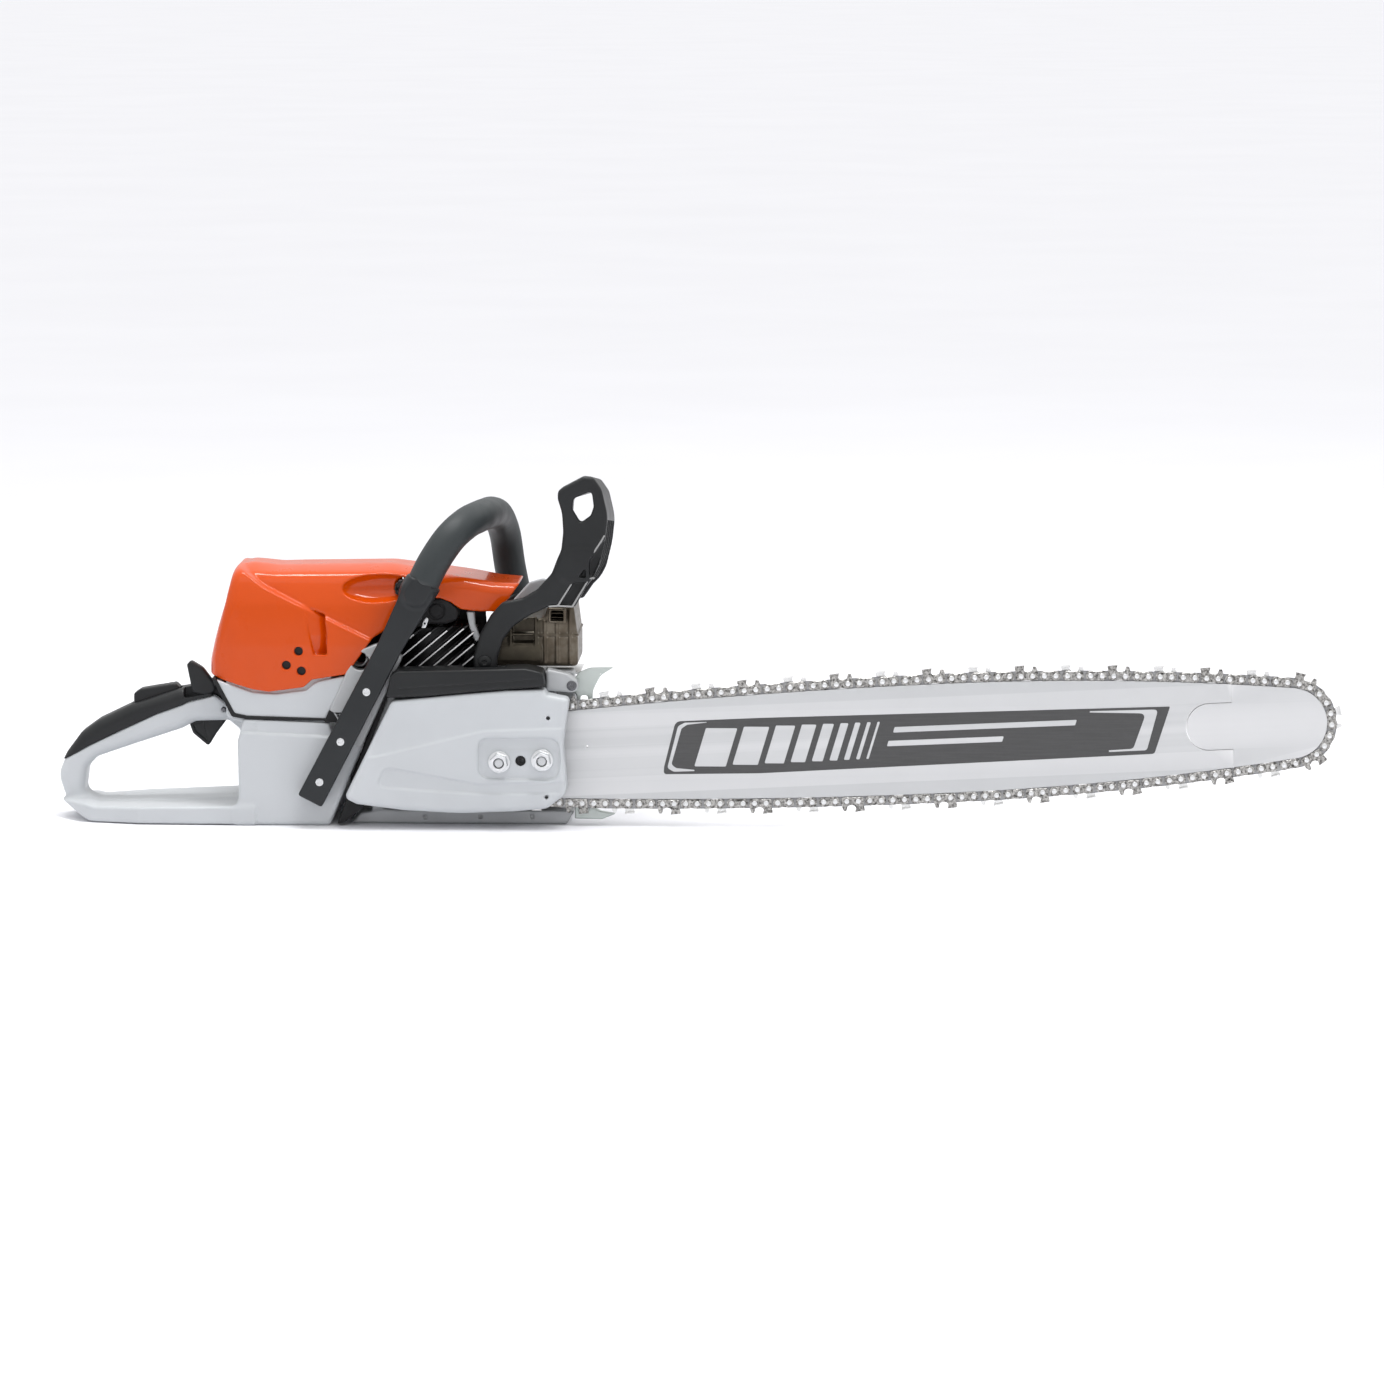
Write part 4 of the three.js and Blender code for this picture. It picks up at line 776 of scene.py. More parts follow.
def sprocket_cover():
    space = Space((234, COVER_FACE - 1, 12), (425, -45, 121), 0.9)
    x, y, z = space.axes
    outline = [(275.5, 107, 6), (235.5, 26, 6), (246, 21, 6), (285, 16, 30), (330, 13.8, 60),
        (376, 15.5, 30), (403, 18, 8), (420, 31, 12), (416.5, 72, 60), (422, 109.5, 5), (403.5, 112.6, 3),
        (401, 117, 3), (369, 116, 60), (335, 113, 60), (301, 109.6, 40)]
    plane = area(outline, x, z)
    outer = both(plane, between(y, COVER_FACE, -46), 5)
    waist = area([(270, 52, 8), (348, 38, 30), (430, 41, 10), (430, 31.5, 10), (350, 30.5, 30),
        (262, 36, 8)], x, z)
    outer = without(outer, both(waist, y - COVER_FACE - 1.6), 1.6)
    shoulder = area([(200, 140), (440, 140), (440, 87, 20), (352, 84, 30), (262, 62, 10), (200, 60)], x, z)
    outer = without(outer, both(shoulder, y - COVER_FACE - 1.0), 2.5)
    pad = area([(347, 43.5, 9), (412, 42, 9), (414.5, 59, 30), (412.5, 76.5, 9), (347, 76.5, 9)], x, z)
    outer = without(outer, both(pad, y + 78.1), 2.6)
    shell = without(outer, both(plane + 2.4, COVER_FACE + 6.0 - y, 3), 0.5)
    boss = slab(space, [(352, 43, 3), (411, 46, 3), (411, 67, 3), (352, 67, 3)], -78.3, BAR_Y - 2.6, 1)
    shell = either(without(shell, box(space, (410, BAR_Y - 8, 10), (440, -30, 120))), boss, 1)
    shell = without(shell, box(space, (356, BAR_Y - 8, 5), (440, -30, 40)))
    for stud in STUDS:
        shell = without(shell, disc(space, stud, 4.4, -90, -40), 0.4)
    shell = without(shell, disc(space, on_bar(-39.5), 4.3, -90, -70), 0.6)
    for hole in ((404.5, 93.5), (403, 28)):
        shell = without(shell, disc(space, hole, 1.7, -90, COVER_FACE + 6), 0.3)
    part("sprocket_cover", space, shell)
    # A dark rubber disc with a small off-centre hole in the adjuster hole: painted shade inside the hole.
    spot = on_bar(-39.5)
    hole_shade_space = Space((spot[0] - 6, -79, spot[1] - 6), (spot[0] + 6, -74, spot[1] + 6), 0.35)
    hole = disc(hole_shade_space, (spot[0] + 1, spot[1]), 1.5, -80, -70, 0.2)
    ring = without(disc(hole_shade_space, spot, 5.0, -76.6, -75.2, 0.3), hole)
    detail("adjuster_hole_shade", hole_shade_space, ring, "rubber")
    # A dark plate behind the gap between handle leg and sprocket cover: painted shade where the gap would show
    # white parts behind.
    gap = Space((228, -43, 28), (300, -37, 114), 1.2)
    gap_shade = slab(gap, [(236, 32, 3), (276, 32, 3), (292, 110, 3), (266, 110, 3)], -42, -39.5, 0.6)
    detail("gap_shade_plate", gap, gap_shade, "black_casting")


def cover_trim():
    space = Space((268, -81, 106), (404, -45, 136), 0.7)
    body = slab(space, [(270.5, 109.5, 2), (274.5, 128, 3), (280, 132, 4), (341, 133.4, 20),
        (386, 134.6, 6), (400, 131.5, 5), (402, 119.2, 1.5), (369, 117, 60), (335, 114, 60),
        (301, 110.7, 40)], -80.5, -46, 2.2)
    body = without(body, box(space, (333, -63, 119), (368, -44.8, 145), 1.5), 0.8)
    body = without(body, bar(space, (282, -80.9, 117.5), (396, -80.9, 125.5), 0.9), 0.4)
    part("cover_trim", space, body)


def bar_nuts():
    for i, stud in enumerate(STUDS):
        space = Space((stud[0] - 10, -89, stud[1] - 10), (stud[0] + 10, -77, stud[1] + 10), 0.35)
        x, y, z = space.x - stud[0], space.y, space.z - stud[1]
        reach = np.sqrt(x * x + z * z)
        flats = np.max([x * math.cos(a) + z * math.sin(a) for a in np.arange(6) * math.pi / 3 + 0.2],
            axis=0) - 6.6
        nut = both(flats, between(y, -88, -79), 0.5)
        nut = both(nut, reach - 7.5 - 0.55 * np.clip(y + 88, 0, 3), 0.4)
        flange = both(reach - 9.3 + 0.3 * np.clip(-79 - y, 0, 3), between(y, -80.2, -78.3), 0.4)
        nut = without(either(nut, flange, 1.0), reach - 4.3, 0.5)
        part(f"bar_nut_{i + 1}", space, nut)
        thread = Space((stud[0] - 5, -88, stud[1] - 5), (stud[0] + 5, -24, stud[1] + 5), 0.4)
        x, y, z = thread.x - stud[0], thread.y, thread.z - stud[1]
        turns = 3.9 + 0.16 * np.sin(2 * math.pi * y / 1.25 + np.arctan2(z, x))
        rod = both(np.hypot(x, z) - turns, between(y, -86, -26), 0.8)
        part(f"bar_stud_{i + 1}", thread, rod)


# ---- hand guard ------------------------------------------------------------------------------
GUARD_AXIS = axis_of("guard_brake")
GUARD_FALL = 0.11          # the crossbar falls towards the starter side
GUARD_HEAD = [(409, 208, 20), (414, 227, 30), (416, 245, 30), (415, 261, 30), (411.6, 272, 8),
    (411.6, 278.5, 5), (416, 282, 5), (433, 291, 5), (441, 290.2, 6), (448, 280, 14), (453, 258, 40),
    (450.5, 236, 40), (447, 222, 30), (435, 198, 20)]
GUARD_ARM = [(342, 130, 2), (341.5, 141, 6), (347, 160, 20), (356, 176, 14), (366, 187, 10), (382, 190, 10),
    (394, 197, 10), (406, 210, 12), (416, 232, 20), (440, 232, 10), (446, 220, 12), (426, 183, 4),
    (404.8, 183.5, 12), (388.6, 176, 10), (374.7, 166.8, 12), (366, 155, 14), (361.5, 140, 8),
    (361, 130, 2)]
GUARD_POCKETS = [[(411.5, 184.5, 1), (422.5, 184, 1.5), (434.8, 200.5, 2), (434, 203.5, 1),
    (425.5, 203.6, 1)], [(428.6, 207.4, 1), (435, 207.4, 1), (434.2, 215.5, 1)], [(437.4, 208.2, 1),
    (440.5, 208.4, 1), (448.5, 227, 10), (451.2, 239, 1), (448, 236.5, 1), (437.8, 221.5, 1)]]


def hand_guard():
    space = Space((340, -59, 126), (456, 73, 292), 1.0)
    x, y, z = space.axes
    head = slab(space, GUARD_HEAD, -58, 72, 2.6)
    cheeks = either(slab(space, GUARD_ARM, -58, -49.5, 3), slab(space, GUARD_ARM, 63.5, 72, 3))
    guard = either(head, cheeks, 4)
    window = slab(space, [(423.6, 264, 3), (424.4, 272.5, 4), (439.6, 279, 3), (441.2, 266, 5),
        (438.6, 258.6, 4), (430.5, 252.6, 3)], -80, 90)
    inside = slab(space, [(417.5, 262, 3), (418.5, 274, 4), (440.5, 280.5, 3), (442.5, 266, 5),
        (439, 250, 4), (428, 242, 3), (418, 247, 3)], -51, 90)
    guard = without(without(guard, window, 2), inside, 1)
    hollow = both(area([(414, 190), (421.5, 238, 8), (421, 246, 4), (431, 245, 4), (449, 256), (475, 240),
        (450, 186)], x, z), between(y, -50.5, 64.5), 3)
    for rib in (-22, 7, 36):
        hollow = without(hollow, between(y, rib - 1.3, rib + 1.3), 1)
    guard = without(guard, hollow, 1)
    for pocket in GUARD_POCKETS:
        plane = area(pocket, x, z)
        guard = without(guard, both(plane, y + 53.2), 0.6)
        guard = without(guard, both(plane, 67.2 - y), 0.6)
    guard = without(guard, disc(space, GUARD_AXIS, 4.4, -70, 90), 0.4)
    made = skin("hand_guard", space, guard)
    heights = np.empty(len(made.data.vertices) * 3, np.float32)
    made.data.vertices.foreach_get("co", heights)
    points = heights.reshape(-1, 3)
    upper = np.clip((points[:, 2] * 1000 - 150) / 60, 0, 1)
    points[:, 2] -= GUARD_FALL * np.clip(points[:, 1] - DATUM.y + 0.05, 0, 1) * upper
    made.data.vertices.foreach_set("co", heights)
    made.data.update()
    stands_for(made, "hand_guard")
    guard_rib_highlights()


def guard_rib_highlights():
    """Thin raised ribs that frame the pockets of the near cheek, in a light grey that paints the highlights along
    the pocket rims.
    """
    space = Space((404, -60, 178), (456, -56, 244), 0.45)
    lines = [[(404.5, 183.5), (411.5, 184), (423.5, 183.5), (435.8, 204), (436.8, 221.5), (447, 237),
        (450, 242)], [(424.3, 204.5), (436.2, 206.8), (441.5, 207.2)], [(411.5, 184), (424.3, 204.5),
        (433.5, 217.5), (436.8, 221.5)]]
    ribs = None
    for line in lines:
        for (x0, z0), (x1, z1) in zip(line, line[1:]):
            rib = bar(space, (x0, -57.9, z0), (x1, -57.9, z1), 0.75)
            ribs = rib if ribs is None else either(ribs, rib, 0.3)
    # The light grey and the lighter edges are painted highlights along the pocket rims, not the guard's own black.
    look = plastic("rib_painted_highlight", (0.3, 0.3, 0.3), 0.4, 0.5, 0.02, 0, (0.5, 0.5, 0.5), 0.15)
    goes_with(skin("guard_rib_highlights", space, ribs, 1), "guard", "grey_plastic", look)


def guard_pivots():
    right = pan_screw("guard_pivot_right", GUARD_AXIS, 5.4, -59.3, 4.0, 21.9)
    stands_for(right, "guard_pivot_right", finish="black_plastic")
    left = pan_screw("guard_pivot_left", GUARD_AXIS, 7.0, -75.4, 4.0, 19.4)
    # Made facing the camera, then mirrored to face the starter side.
    left.data.transform(Matrix.Translation((0, 2 * DATUM.y, 0)) @ Matrix.Scale(-1, 4, (0, 1, 0)))
    left.data.flip_normals()
    stands_for(left, "guard_pivot_left")


# ---- engine ----------------------------------------------------------------------------------
FIN_SLOPE = math.radians(40)
FIN_PITCH = 7.6
FIN_FROM = 110           # height at which a fin meets the cylinder's axis
BORE_RADIUS = 25


def cylinder():
    space = Space((266, -43, 97), (347, 41, 166), 0.7)
    x, y, z = space.axes
    cx = CRANK[0]
    lean = -(x - cx) * math.sin(FIN_SLOPE) + (z - FIN_FROM) * math.cos(FIN_SLOPE)
    phase = np.abs(lean / FIN_PITCH - np.round(lean / FIN_PITCH)) * FIN_PITCH
    envelope = both(area([(267, 130), (284, 163.5, 6), (341, 165.5, 3), (341, 131), (335, 128.5),
        (267, 128.5)], x, z), between(y, -42, 40), 3)
    fins = both(phase - 1.0, envelope, 0.8)
    barrel = post(space, cx, 0, 30.5, 102, 163, 1)
    low = both(both(phase - 1.0, between(z, 105, 130)), both(between(x, cx - 38, cx + 36),
        between(y, -17.7, 21.7)), 0.6)
    foot = box(space, (cx - 38, -17.7, 98.3), (cx + 36, 21.7, 105), 1)
    intake = both(np.hypot(y, z - 122) - 12, between(x, cx - 44, cx), 0.6)
    exhaust = box(space, (cx, -16, 120), (cx + 40.5, 16, 146), 1.5)
    whole = either(either(either(either(fins, barrel, 0.8), low, 0.6), foot, 1), either(intake, exhaust), 1)
    whole = without(whole, post(space, cx, 0, BORE_RADIUS, 90, 157))
    whole = without(whole, both(np.hypot(y, z - 122) - 9, between(x, cx - 50, cx - 20)))
    whole = without(whole, box(space, (cx + 20, -12, 124), (cx + 50, 12, 142), 1))
    whole = without(whole, either(post(space, cx, 0, 6.2, 150, 175), post(space, cx, 0, 12, 163.1, 190)))
    part("cylinder", space, whole, 1)
    # Thin light strips on the near edges of the fins, in the light casting finish: painted highlights along the
    # fin edges.
    edges = Plates()
    for k in range(-4, 8):
        ends = []
        for t in np.linspace(-60, 60, 241):
            spot = (cx + t * math.cos(FIN_SLOPE) - k * FIN_PITCH * math.sin(FIN_SLOPE),
                FIN_FROM + t * math.sin(FIN_SLOPE) + k * FIN_PITCH * math.cos(FIN_SLOPE))
            in_block = 271 < spot[0] < 341 and 129.5 < spot[1] < 164 - 0.12 * (341 - spot[0])
            if in_block and spot[0] - spot[1] > 114:
                ends.append(spot)
        if len(ends) < 20:
            continue
        (x0, z0), (x1, z1) = ends[0], ends[-1]
        across = (-0.55 * math.sin(FIN_SLOPE), 0.55 * math.cos(FIN_SLOPE))
        line = [(x0 - across[0], z0 - across[1]), (x1 - across[0], z1 - across[1]),
            (x1 + across[0], z1 + across[1]), (x0 + across[0], z0 + across[1])]
        edges.add([line], chamfered(-42.5, -41.6, 0.15), lambda a, b, y: at(a, y, b))
    goes_with(edges.piece("fin_edge_highlights"), "powerhead", "casting")
    # A black plate across the middle of the fins: painted shade that keeps the gaps between the fins dark.
    fin_gap_shade_space = Space((226, 20, 98), (352, 26, 194), 1.0)
    guide = slab(fin_gap_shade_space, [(228, 100, 3), (228, 158, 8), (262, 186, 8), (300, 192, 8), (346, 186, 6),
        (350, 103, 3)], 22.6, 24.6, 0.6)
    detail("fin_gap_shade_plate", fin_gap_shade_space, guide, "black_plastic")


def spark_plug_boot():
    space = Space((284, -46, 158), (332, 14, 192), 0.6)
    x, y, z = space.axes
    hood = slab(space, [(289, 162, 3), (288, 178, 8), (298, 188, 8), (318, 188, 10), (328.5, 178, 8),
        (327, 170, 4), (318, 166.8, 4), (304, 166.8, 2)], -45, -12, 3)
    reach = np.hypot(x - 310, z - 178)
    hood = without(hood, both(both(reach - 7.5, between(y, -60, -43.2)), -(reach - 5.2)), 0.3)
    lead = bar(space, (300, -30, 178), (305, 0, 178), 6.5)
    cap = post(space, CRANK[0], 0, 10.5, 170.5, 186, 3)
    boot = either(either(hood, lead, 3), cap, 3)
    boot = without(boot, either(post(space, CRANK[0], 0, 9.6, 160, 171),
        post(space, CRANK[0], 0, 4.6, 165, 179)), 0.4)
    part("spark_plug_boot", space, boot)
    clip_space = Space((296, -48, 160), (306, -42, 175), 0.3)
    clip = slab(clip_space, [(297.5, 163.5, 1), (301.5, 163.5, 1), (304, 171, 1), (302, 173, 0.8),
        (299.5, 170, 1)], -46.4, -44.6, 0.6)
    clip = without(clip, bar(clip_space, (300.6, -60, 167.6), (300.6, -30, 167.6), 0.8), 0.2)
    detail("boot_clip", clip_space, clip, "bright_steel")


def muffler():
    space = Space((349, -38, 129), (430, 40, 187), 0.75)
    x, y, z = space.axes
    shell = slab(space, [(350, 131, 5), (427, 131, 4), (427, 154, 10), (423.5, 181, 7), (418, 184.4, 5),
        (403, 184, 6), (398.5, 171, 6), (352, 169, 6)], -36, 38, 3.2)
    recess = slab(space, [(372.5, 150.5, 2), (391, 150.5, 2), (391, 170.5, 2), (372.5, 168, 2)], -60, -26,
        0.5)
    shell = without(shell, recess, 1.2)
    belly = both(np.hypot((y + 30), (z - 141.5)) - 9.5, between(x, 356, 397), 3)
    shell = either(shell, both(belly, -37.4 - y), 1.5)
    for rib in (399.5, 409.5, 420.5):
        shell = either(shell, bar(space, (rib, -36.2, 134), (rib, -36.2, 178 if rib > 405 else 168), 1.3),
            1.2)
    frame_bar = either(bar(space, (371, -36, 149), (371, -36, 169), 1.4), bar(space, (392, -36, 149),
        (392, -36, 171), 1.4))
    shell = either(shell, frame_bar, 1.0)
    shell = either(shell, both(between(z, 156.4, 158), both(muffler_seam(x, z), between(y, -36.9, 38.9)),
        0.4), 0.8)
    shell = without(shell, slab(space, [(355, 134, 3), (422, 134, 3), (420, 179, 5), (405, 180, 4),
        (401, 168, 4), (356, 165, 4)], -24, 35, 2))
    shell = without(shell, box(space, (405, -50, 170), (415, -20, 178), 0.8), 0.6)
    shell = without(shell, box(space, (345, -11, 136), (358, 11, 150), 1))
    part("muffler", space, shell)
    flange_space = Space((332, -40, 150), (348, -28, 179), 0.5)
    flange = slab(flange_space, [(334.5, 177, 1.5), (341, 176.5, 2), (341.8, 166, 6), (346.5, 153, 1.5),
        (342, 151.5, 1), (337, 164, 6)], -39, -30, 1.2)
    detail("exhaust_flange", flange_space, flange, "magnesium")


def muffler_seam(x, z):
    """The muffler's seam: a lip standing out all round its side outline."""
    return area([(352, 131, 5), (427.9, 131, 4), (427.6, 170, 6), (351, 170, 6)], x, z)


def exhaust_outlet():
    space = Space((401, -44, 166), (419, -35, 182), 0.35)
    cowl = box(space, (402.5, -43, 167.5), (417.5, -36.3, 180.5), 1.8)
    cowl = without(cowl, box(space, (404.7, -60, 169.7), (415.3, -20, 178.3), 0.8), 0.5)
    for z in (172.2, 175.6):
        cowl = either(cowl, bar(space, (404, -38, z), (416, -38, z), 0.45), 0.2)
    part("exhaust_outlet", space, cowl, 1)


def crankcase():
    space = Space((236, -61, -1), (430, 69, 140), 1.0)
    cx, cz = CRANK
    front, top = 424, 98
    block = slab(space, [(262, 6, 6), (front, 6, 10), (front, 108, 8), (398, 118, 6), (352, 118, 4),
        (350, top), (262, top, 6)], -19, 21, 1.5)
    base = slab(space, [(238, 0), (front - 6, 0, 4), (front, 12, 4), (262, 12, 3), (246, 9, 3)], -46, 21,
        1.8)
    oil_tank = slab(space, [(366, 6, 6), (front, 6, 10), (front, 84, 8), (376, 84, 8)], -19, 68, 4)
    pads = either(slab(space, [(351.5, 22, 6), (front - 2, 24, 8), (front - 2, 92, 8), (351.5, 88, 6)],
        -46.5, -19), slab(space, [(352, 41, 4), (417, 36, 6), (417, 84, 6), (352, 75, 4)], BAR_Y + 2.6,
        -46), 0.5)
    wall = slab(space, [(256, 8, 4), (front, 8, 4), (front, 128, 3), (400, 128), (396, 116, 3),
        (272, 112, 10), (252, 60, 20)], -45, -18, 1)
    cup = slab(space, [(262, 11, 12), (front + 9, 11), (front + 9, 110.5), (398, 110.5), (277, 106, 14),
        (257.5, 60, 20)], -50, -19.5, 2)
    wall = without(without(wall, cup), box(space, (398, -50, 110), (430, -41, 133)))
    bracket = slab(space, [(401.8, 113.4, 2), (423, 112, 5), (428.5, 115, 4), (427.8, 121.5, 5),
        (419, 128, 8), (402, 131.8, 2)], -60, -45, 1.2)
    boss = disc(space, GUARD_AXIS, 8, -44.5, -37, 0.8)
    web = slab(space, [(343, 108), (364, 108), (359, 136), (343, 136)], -44.5, -37, 0.8)
    whole = base
    for more in (block, oil_tank, pads, wall, boss, web, bracket):
        whole = either(whole, more, 1.2)
    cuts = [disc(space, (cx, cz), 33, -16.5, 16.5), disc(space, (cx, cz), 9, -30, 30),
        post(space, cx, 0, 26.5, cz, top + 32), post(space, cx, 0, 31.3, top, top + 32),
        box(space, (260, -23, top - 0.3), (343, -10, 130)), disc(space, axis_of("oil_cap_turn"), 15.5, 56,
        70), disc(space, GUARD_AXIS, 4.4, -60, -30), box(space, (350, -44.6, 27.4), (430, -37.4, 34.6)),
        box(space, (425.5, -47.2, 3), (470, -40.4, 23))]
    cuts += [disc(space, stud, 4.4, -60, -24) for stud in STUDS]
    cuts += [disc(space, spot, 1.6, -50, -44) for spot in ((300, 5.5), (346, 6), (389, 6.5))]
    for tool in cuts:
        whole = without(whole, tool, 0.4)
    part("crankcase", space, whole)
    screw = pan_screw("spike_screw", (423, 118), 4.2, -61.4, 2.6, 5)
    stands_for(screw, "spike_screw", finish="dark_steel")


# ---- starter side ----------------------------------------------------------------------------
def fan_housing():
    space = Space((249, 21, 0), (404, 86, 198), 1.0)
    x, y, z = space.axes
    cx, cz = CRANK
    side = area([(255, 2, 20), (350, 2, 24), (367, 60, 50), (364, 112, 20), (320, 126, 30), (262, 126, 20),
        (251, 70, 40)], x, z)
    bulge = area([(0, -20), (68, -20), (78, 4, 20), (84, 30, 24), (84, 96, 24), (76, 122, 20), (64, 145),
        (0, 145)], y, z)
    outer = both(both(side, bulge, 6), between(y, 22, 84), 7)
    dish = np.hypot(x - cx, z - cz)
    rings = both(between(dish, 22, 46), 82.6 - y)
    outer = without(outer, rings, 1.0)
    shell = without(outer, both(both(side + 2.5, bulge + 2.5, 4), y - 80.2, 5))
    ear = slab(space, [(344, 104), (364, 104), (372, 128, 8), (398, 172, 10), (397, 195.5, 6),
        (381, 190.5, 8), (366, 174, 10), (342, 146, 10)], 56.5, 62, 1.6)
    shell = either(shell, without(ear, disc(space, GUARD_AXIS, 4.4, 40, 90), 0.4), 2)
    shell = either(shell, disc(space, (cx, cz), 6, 52, 83, 1), 1)
    angle = np.arctan2(z - cz, x - cx)
    count = 22
    turn = angle * count / (2 * math.pi)
    spoke = np.abs(turn - np.round(turn)) * 2 * math.pi / count * dish
    louvre = both(both(between(dish, 24.5, 43.5), 1.9 - spoke, 1.2), between(y, 70, 95))
    shell = without(shell, louvre, 0.5)
    shell = without(shell, disc(space, (cx, cz), 3, 80, 90), 0.5)
    for spot in ((262, 12), (352, 14), (258, 116), (356, 108)):
        shell = either(shell, disc(space, spot, 6, 24, 80, 1.5), 2)
        shell = without(shell, disc(space, spot, 3.6, 76.5, 90), 0.5)
    shell = without(shell, post(space, cx - 24, 70, 3.2, 100, 140))
    shell = without(shell, post(space, cx, 0, 31.3, 98, 140))
    part("fan_housing", space, shell)


def starter_grip():
    gx, gy = CRANK[0] - 24, 70
    space = Space((gx - 31, gy - 10, 129), (gx + 31, gy + 10, 161.5), 0.6)
    x, y, z = space.axes
    reach = np.abs(x - gx)
    beam = np.hypot(y - gy,
        z - 152 + 0.0009 * (x - gx) ** 2) - 7.6 + 0.8 * np.cos(x * 0.9) * (reach > 7) * 0.35
    handle = both(beam, reach - 22, 3.5)
    neck = post(space, gx, gy, 6.5, 130, 150, 1.5)
    grip_solid = without(either(handle, neck, 4), post(space, gx, gy, 2.2, 128, 140), 0.5)
    part("starter_grip", space, grip_solid)


def filler_cap(node, centre, radius, y0, y1):
    space = Space((centre[0] - radius - 1, y0 - 1, centre[1] - radius - 1),
        (centre[0] + radius + 1, y1 + 5, centre[1] + radius + 1), 0.5)
    x, y, z = space.x - centre[0], space.y, space.z - centre[1]
    reach, angle = np.hypot(x, z), np.arctan2(z, x)
    lid = both(reach - radius + 0.35 * (1 + np.cos(24 * angle)), between(y, y0, y1), 1.5)
    lid = without(lid, both(reach - radius * 0.78, y1 - 1.8 - y), 0.8)
    wing = both(both(between(x, -radius * 0.74, radius * 0.74), between(z, -2.4, 2.4), 1.6),
        between(y, y1 - 4, y1 + 3.9), 1.4)
    part(node, space, either(lid, wing, 1))


# ---- small steel parts -----------------------------------------------------------------------
def spikes():
    space = Space((402, -46, 94), (460, -40, 134), 0.5)
    teeth = slab(space, [(403, 113.5, 1), (403, 127, 1), (422, 119.5, 3), (428.5, 127.5, 4), (437, 131, 10),
        (457.5, 131.8, 0.6), (446, 124.5, 12), (439.6, 112, 16), (439.5, 96, 1), (426, 96, 1),
        (426, 110, 4)], -44.5, -41.5, 0.9)
    teeth = without(teeth, box(space, (429.5, -60, 97), (435.5, -30, 108), 2), 0.5)
    teeth = without(teeth, disc(space, (416, 117.5), 3.2, -60, -30), 0.3)
    part("bumper_spike", space, teeth)
    space = Space((423, -48, 3), (461, -40, 23), 0.5)
    catcher = slab(space, [(424.5, 5, 1), (447, 4.6, 6), (459.4, 9.4, 0.8), (447, 11.4, 8), (435, 17, 8),
        (424.5, 21, 1)], -46.6, -41, 1.4)
    catcher = without(catcher, disc(space, (430.5, 12), 2.4, -60, -30), 0.4)
    part("chain_catcher", space, catcher)


def spring(node, start, way, length, turns):
    """A helical spring from a start point along a unit way."""
    way = np.array(way, float)
    side = np.cross(way, (0, 0, 1) if abs(way[2]) < 0.5 else (1, 0, 0))
    side /= np.linalg.norm(side)
    other = np.cross(way, side)
    steps = turns * 24
    path = []
    for i in range(steps + 1):
        angle = 2 * math.pi * i / 24
        run = 1.3 + (length - 2.6) * i / steps
        path.append(np.array(start) + way * run + 6.2 * (math.cos(angle) * side + math.sin(angle) * other))
    sweep(node, path, [1.3] * len(path), 12, node)


handle_rail()
for number, share in enumerate(RAIL_SCREWS):
    rail_screw = pan_screw(f"rail_screw_{number + 1}", on_leg(share), 5.4, -77.2, 2.8, 15)
    stands_for(rail_screw, f"rail_screw_{number + 1}")
front_handle()
sprocket_cover()
cover_trim()
bar_nuts()
hand_guard()
guard_pivots()
cylinder()
spark_plug_boot()
muffler()
exhaust_outlet()
crankcase()
fan_housing()
starter_grip()
filler_cap("fuel_cap", FUEL_CAP, 18, 50, 63)
filler_cap("oil_cap", axis_of("oil_cap_turn"), 15, 58, 71)
spikes()
spring("av_spring_rear", (246, -44.5, 138), (0, 1, 0), 18.5, 4)
spring("av_spring_front", (246.5, 4, 26), (1, 0, 0), 14, 3)

# ---- guide bar and chain ---------------------------------------------------------------------
BAR_HALF_THICK = 2.3
BAR_PEAK, BAR_HALF = 310, 45.4        # widest point from the mouth, and half the width there
REAR_ARC, TAIL_ARC = 5309, 170        # radii of the rails
TAIL_START, TAIL_END = -4, -80
NOSE_AT, NOSE_RADIUS = 595.5, 29.3
RIVET_LIFT = 4.2                      # rivets run this far above the rails
SPROCKET_RADIUS = 21.4
RIVETS = 168
NOSE_JOINT = 547                      # where bar and nose meet at the rails
TONGUE_CENTRE, TONGUE_RADIUS = 528.5, 19.2
CUTTER_LEAD = -2.1                    # how far the first cutter is from its even place, along the chain


def arc(centre, radius, first, last, steps):
    angles = np.linspace(first, last, steps + 1)
    return np.stack([centre[0] + radius * np.cos(angles), centre[1] + radius * np.sin(angles)], 1)


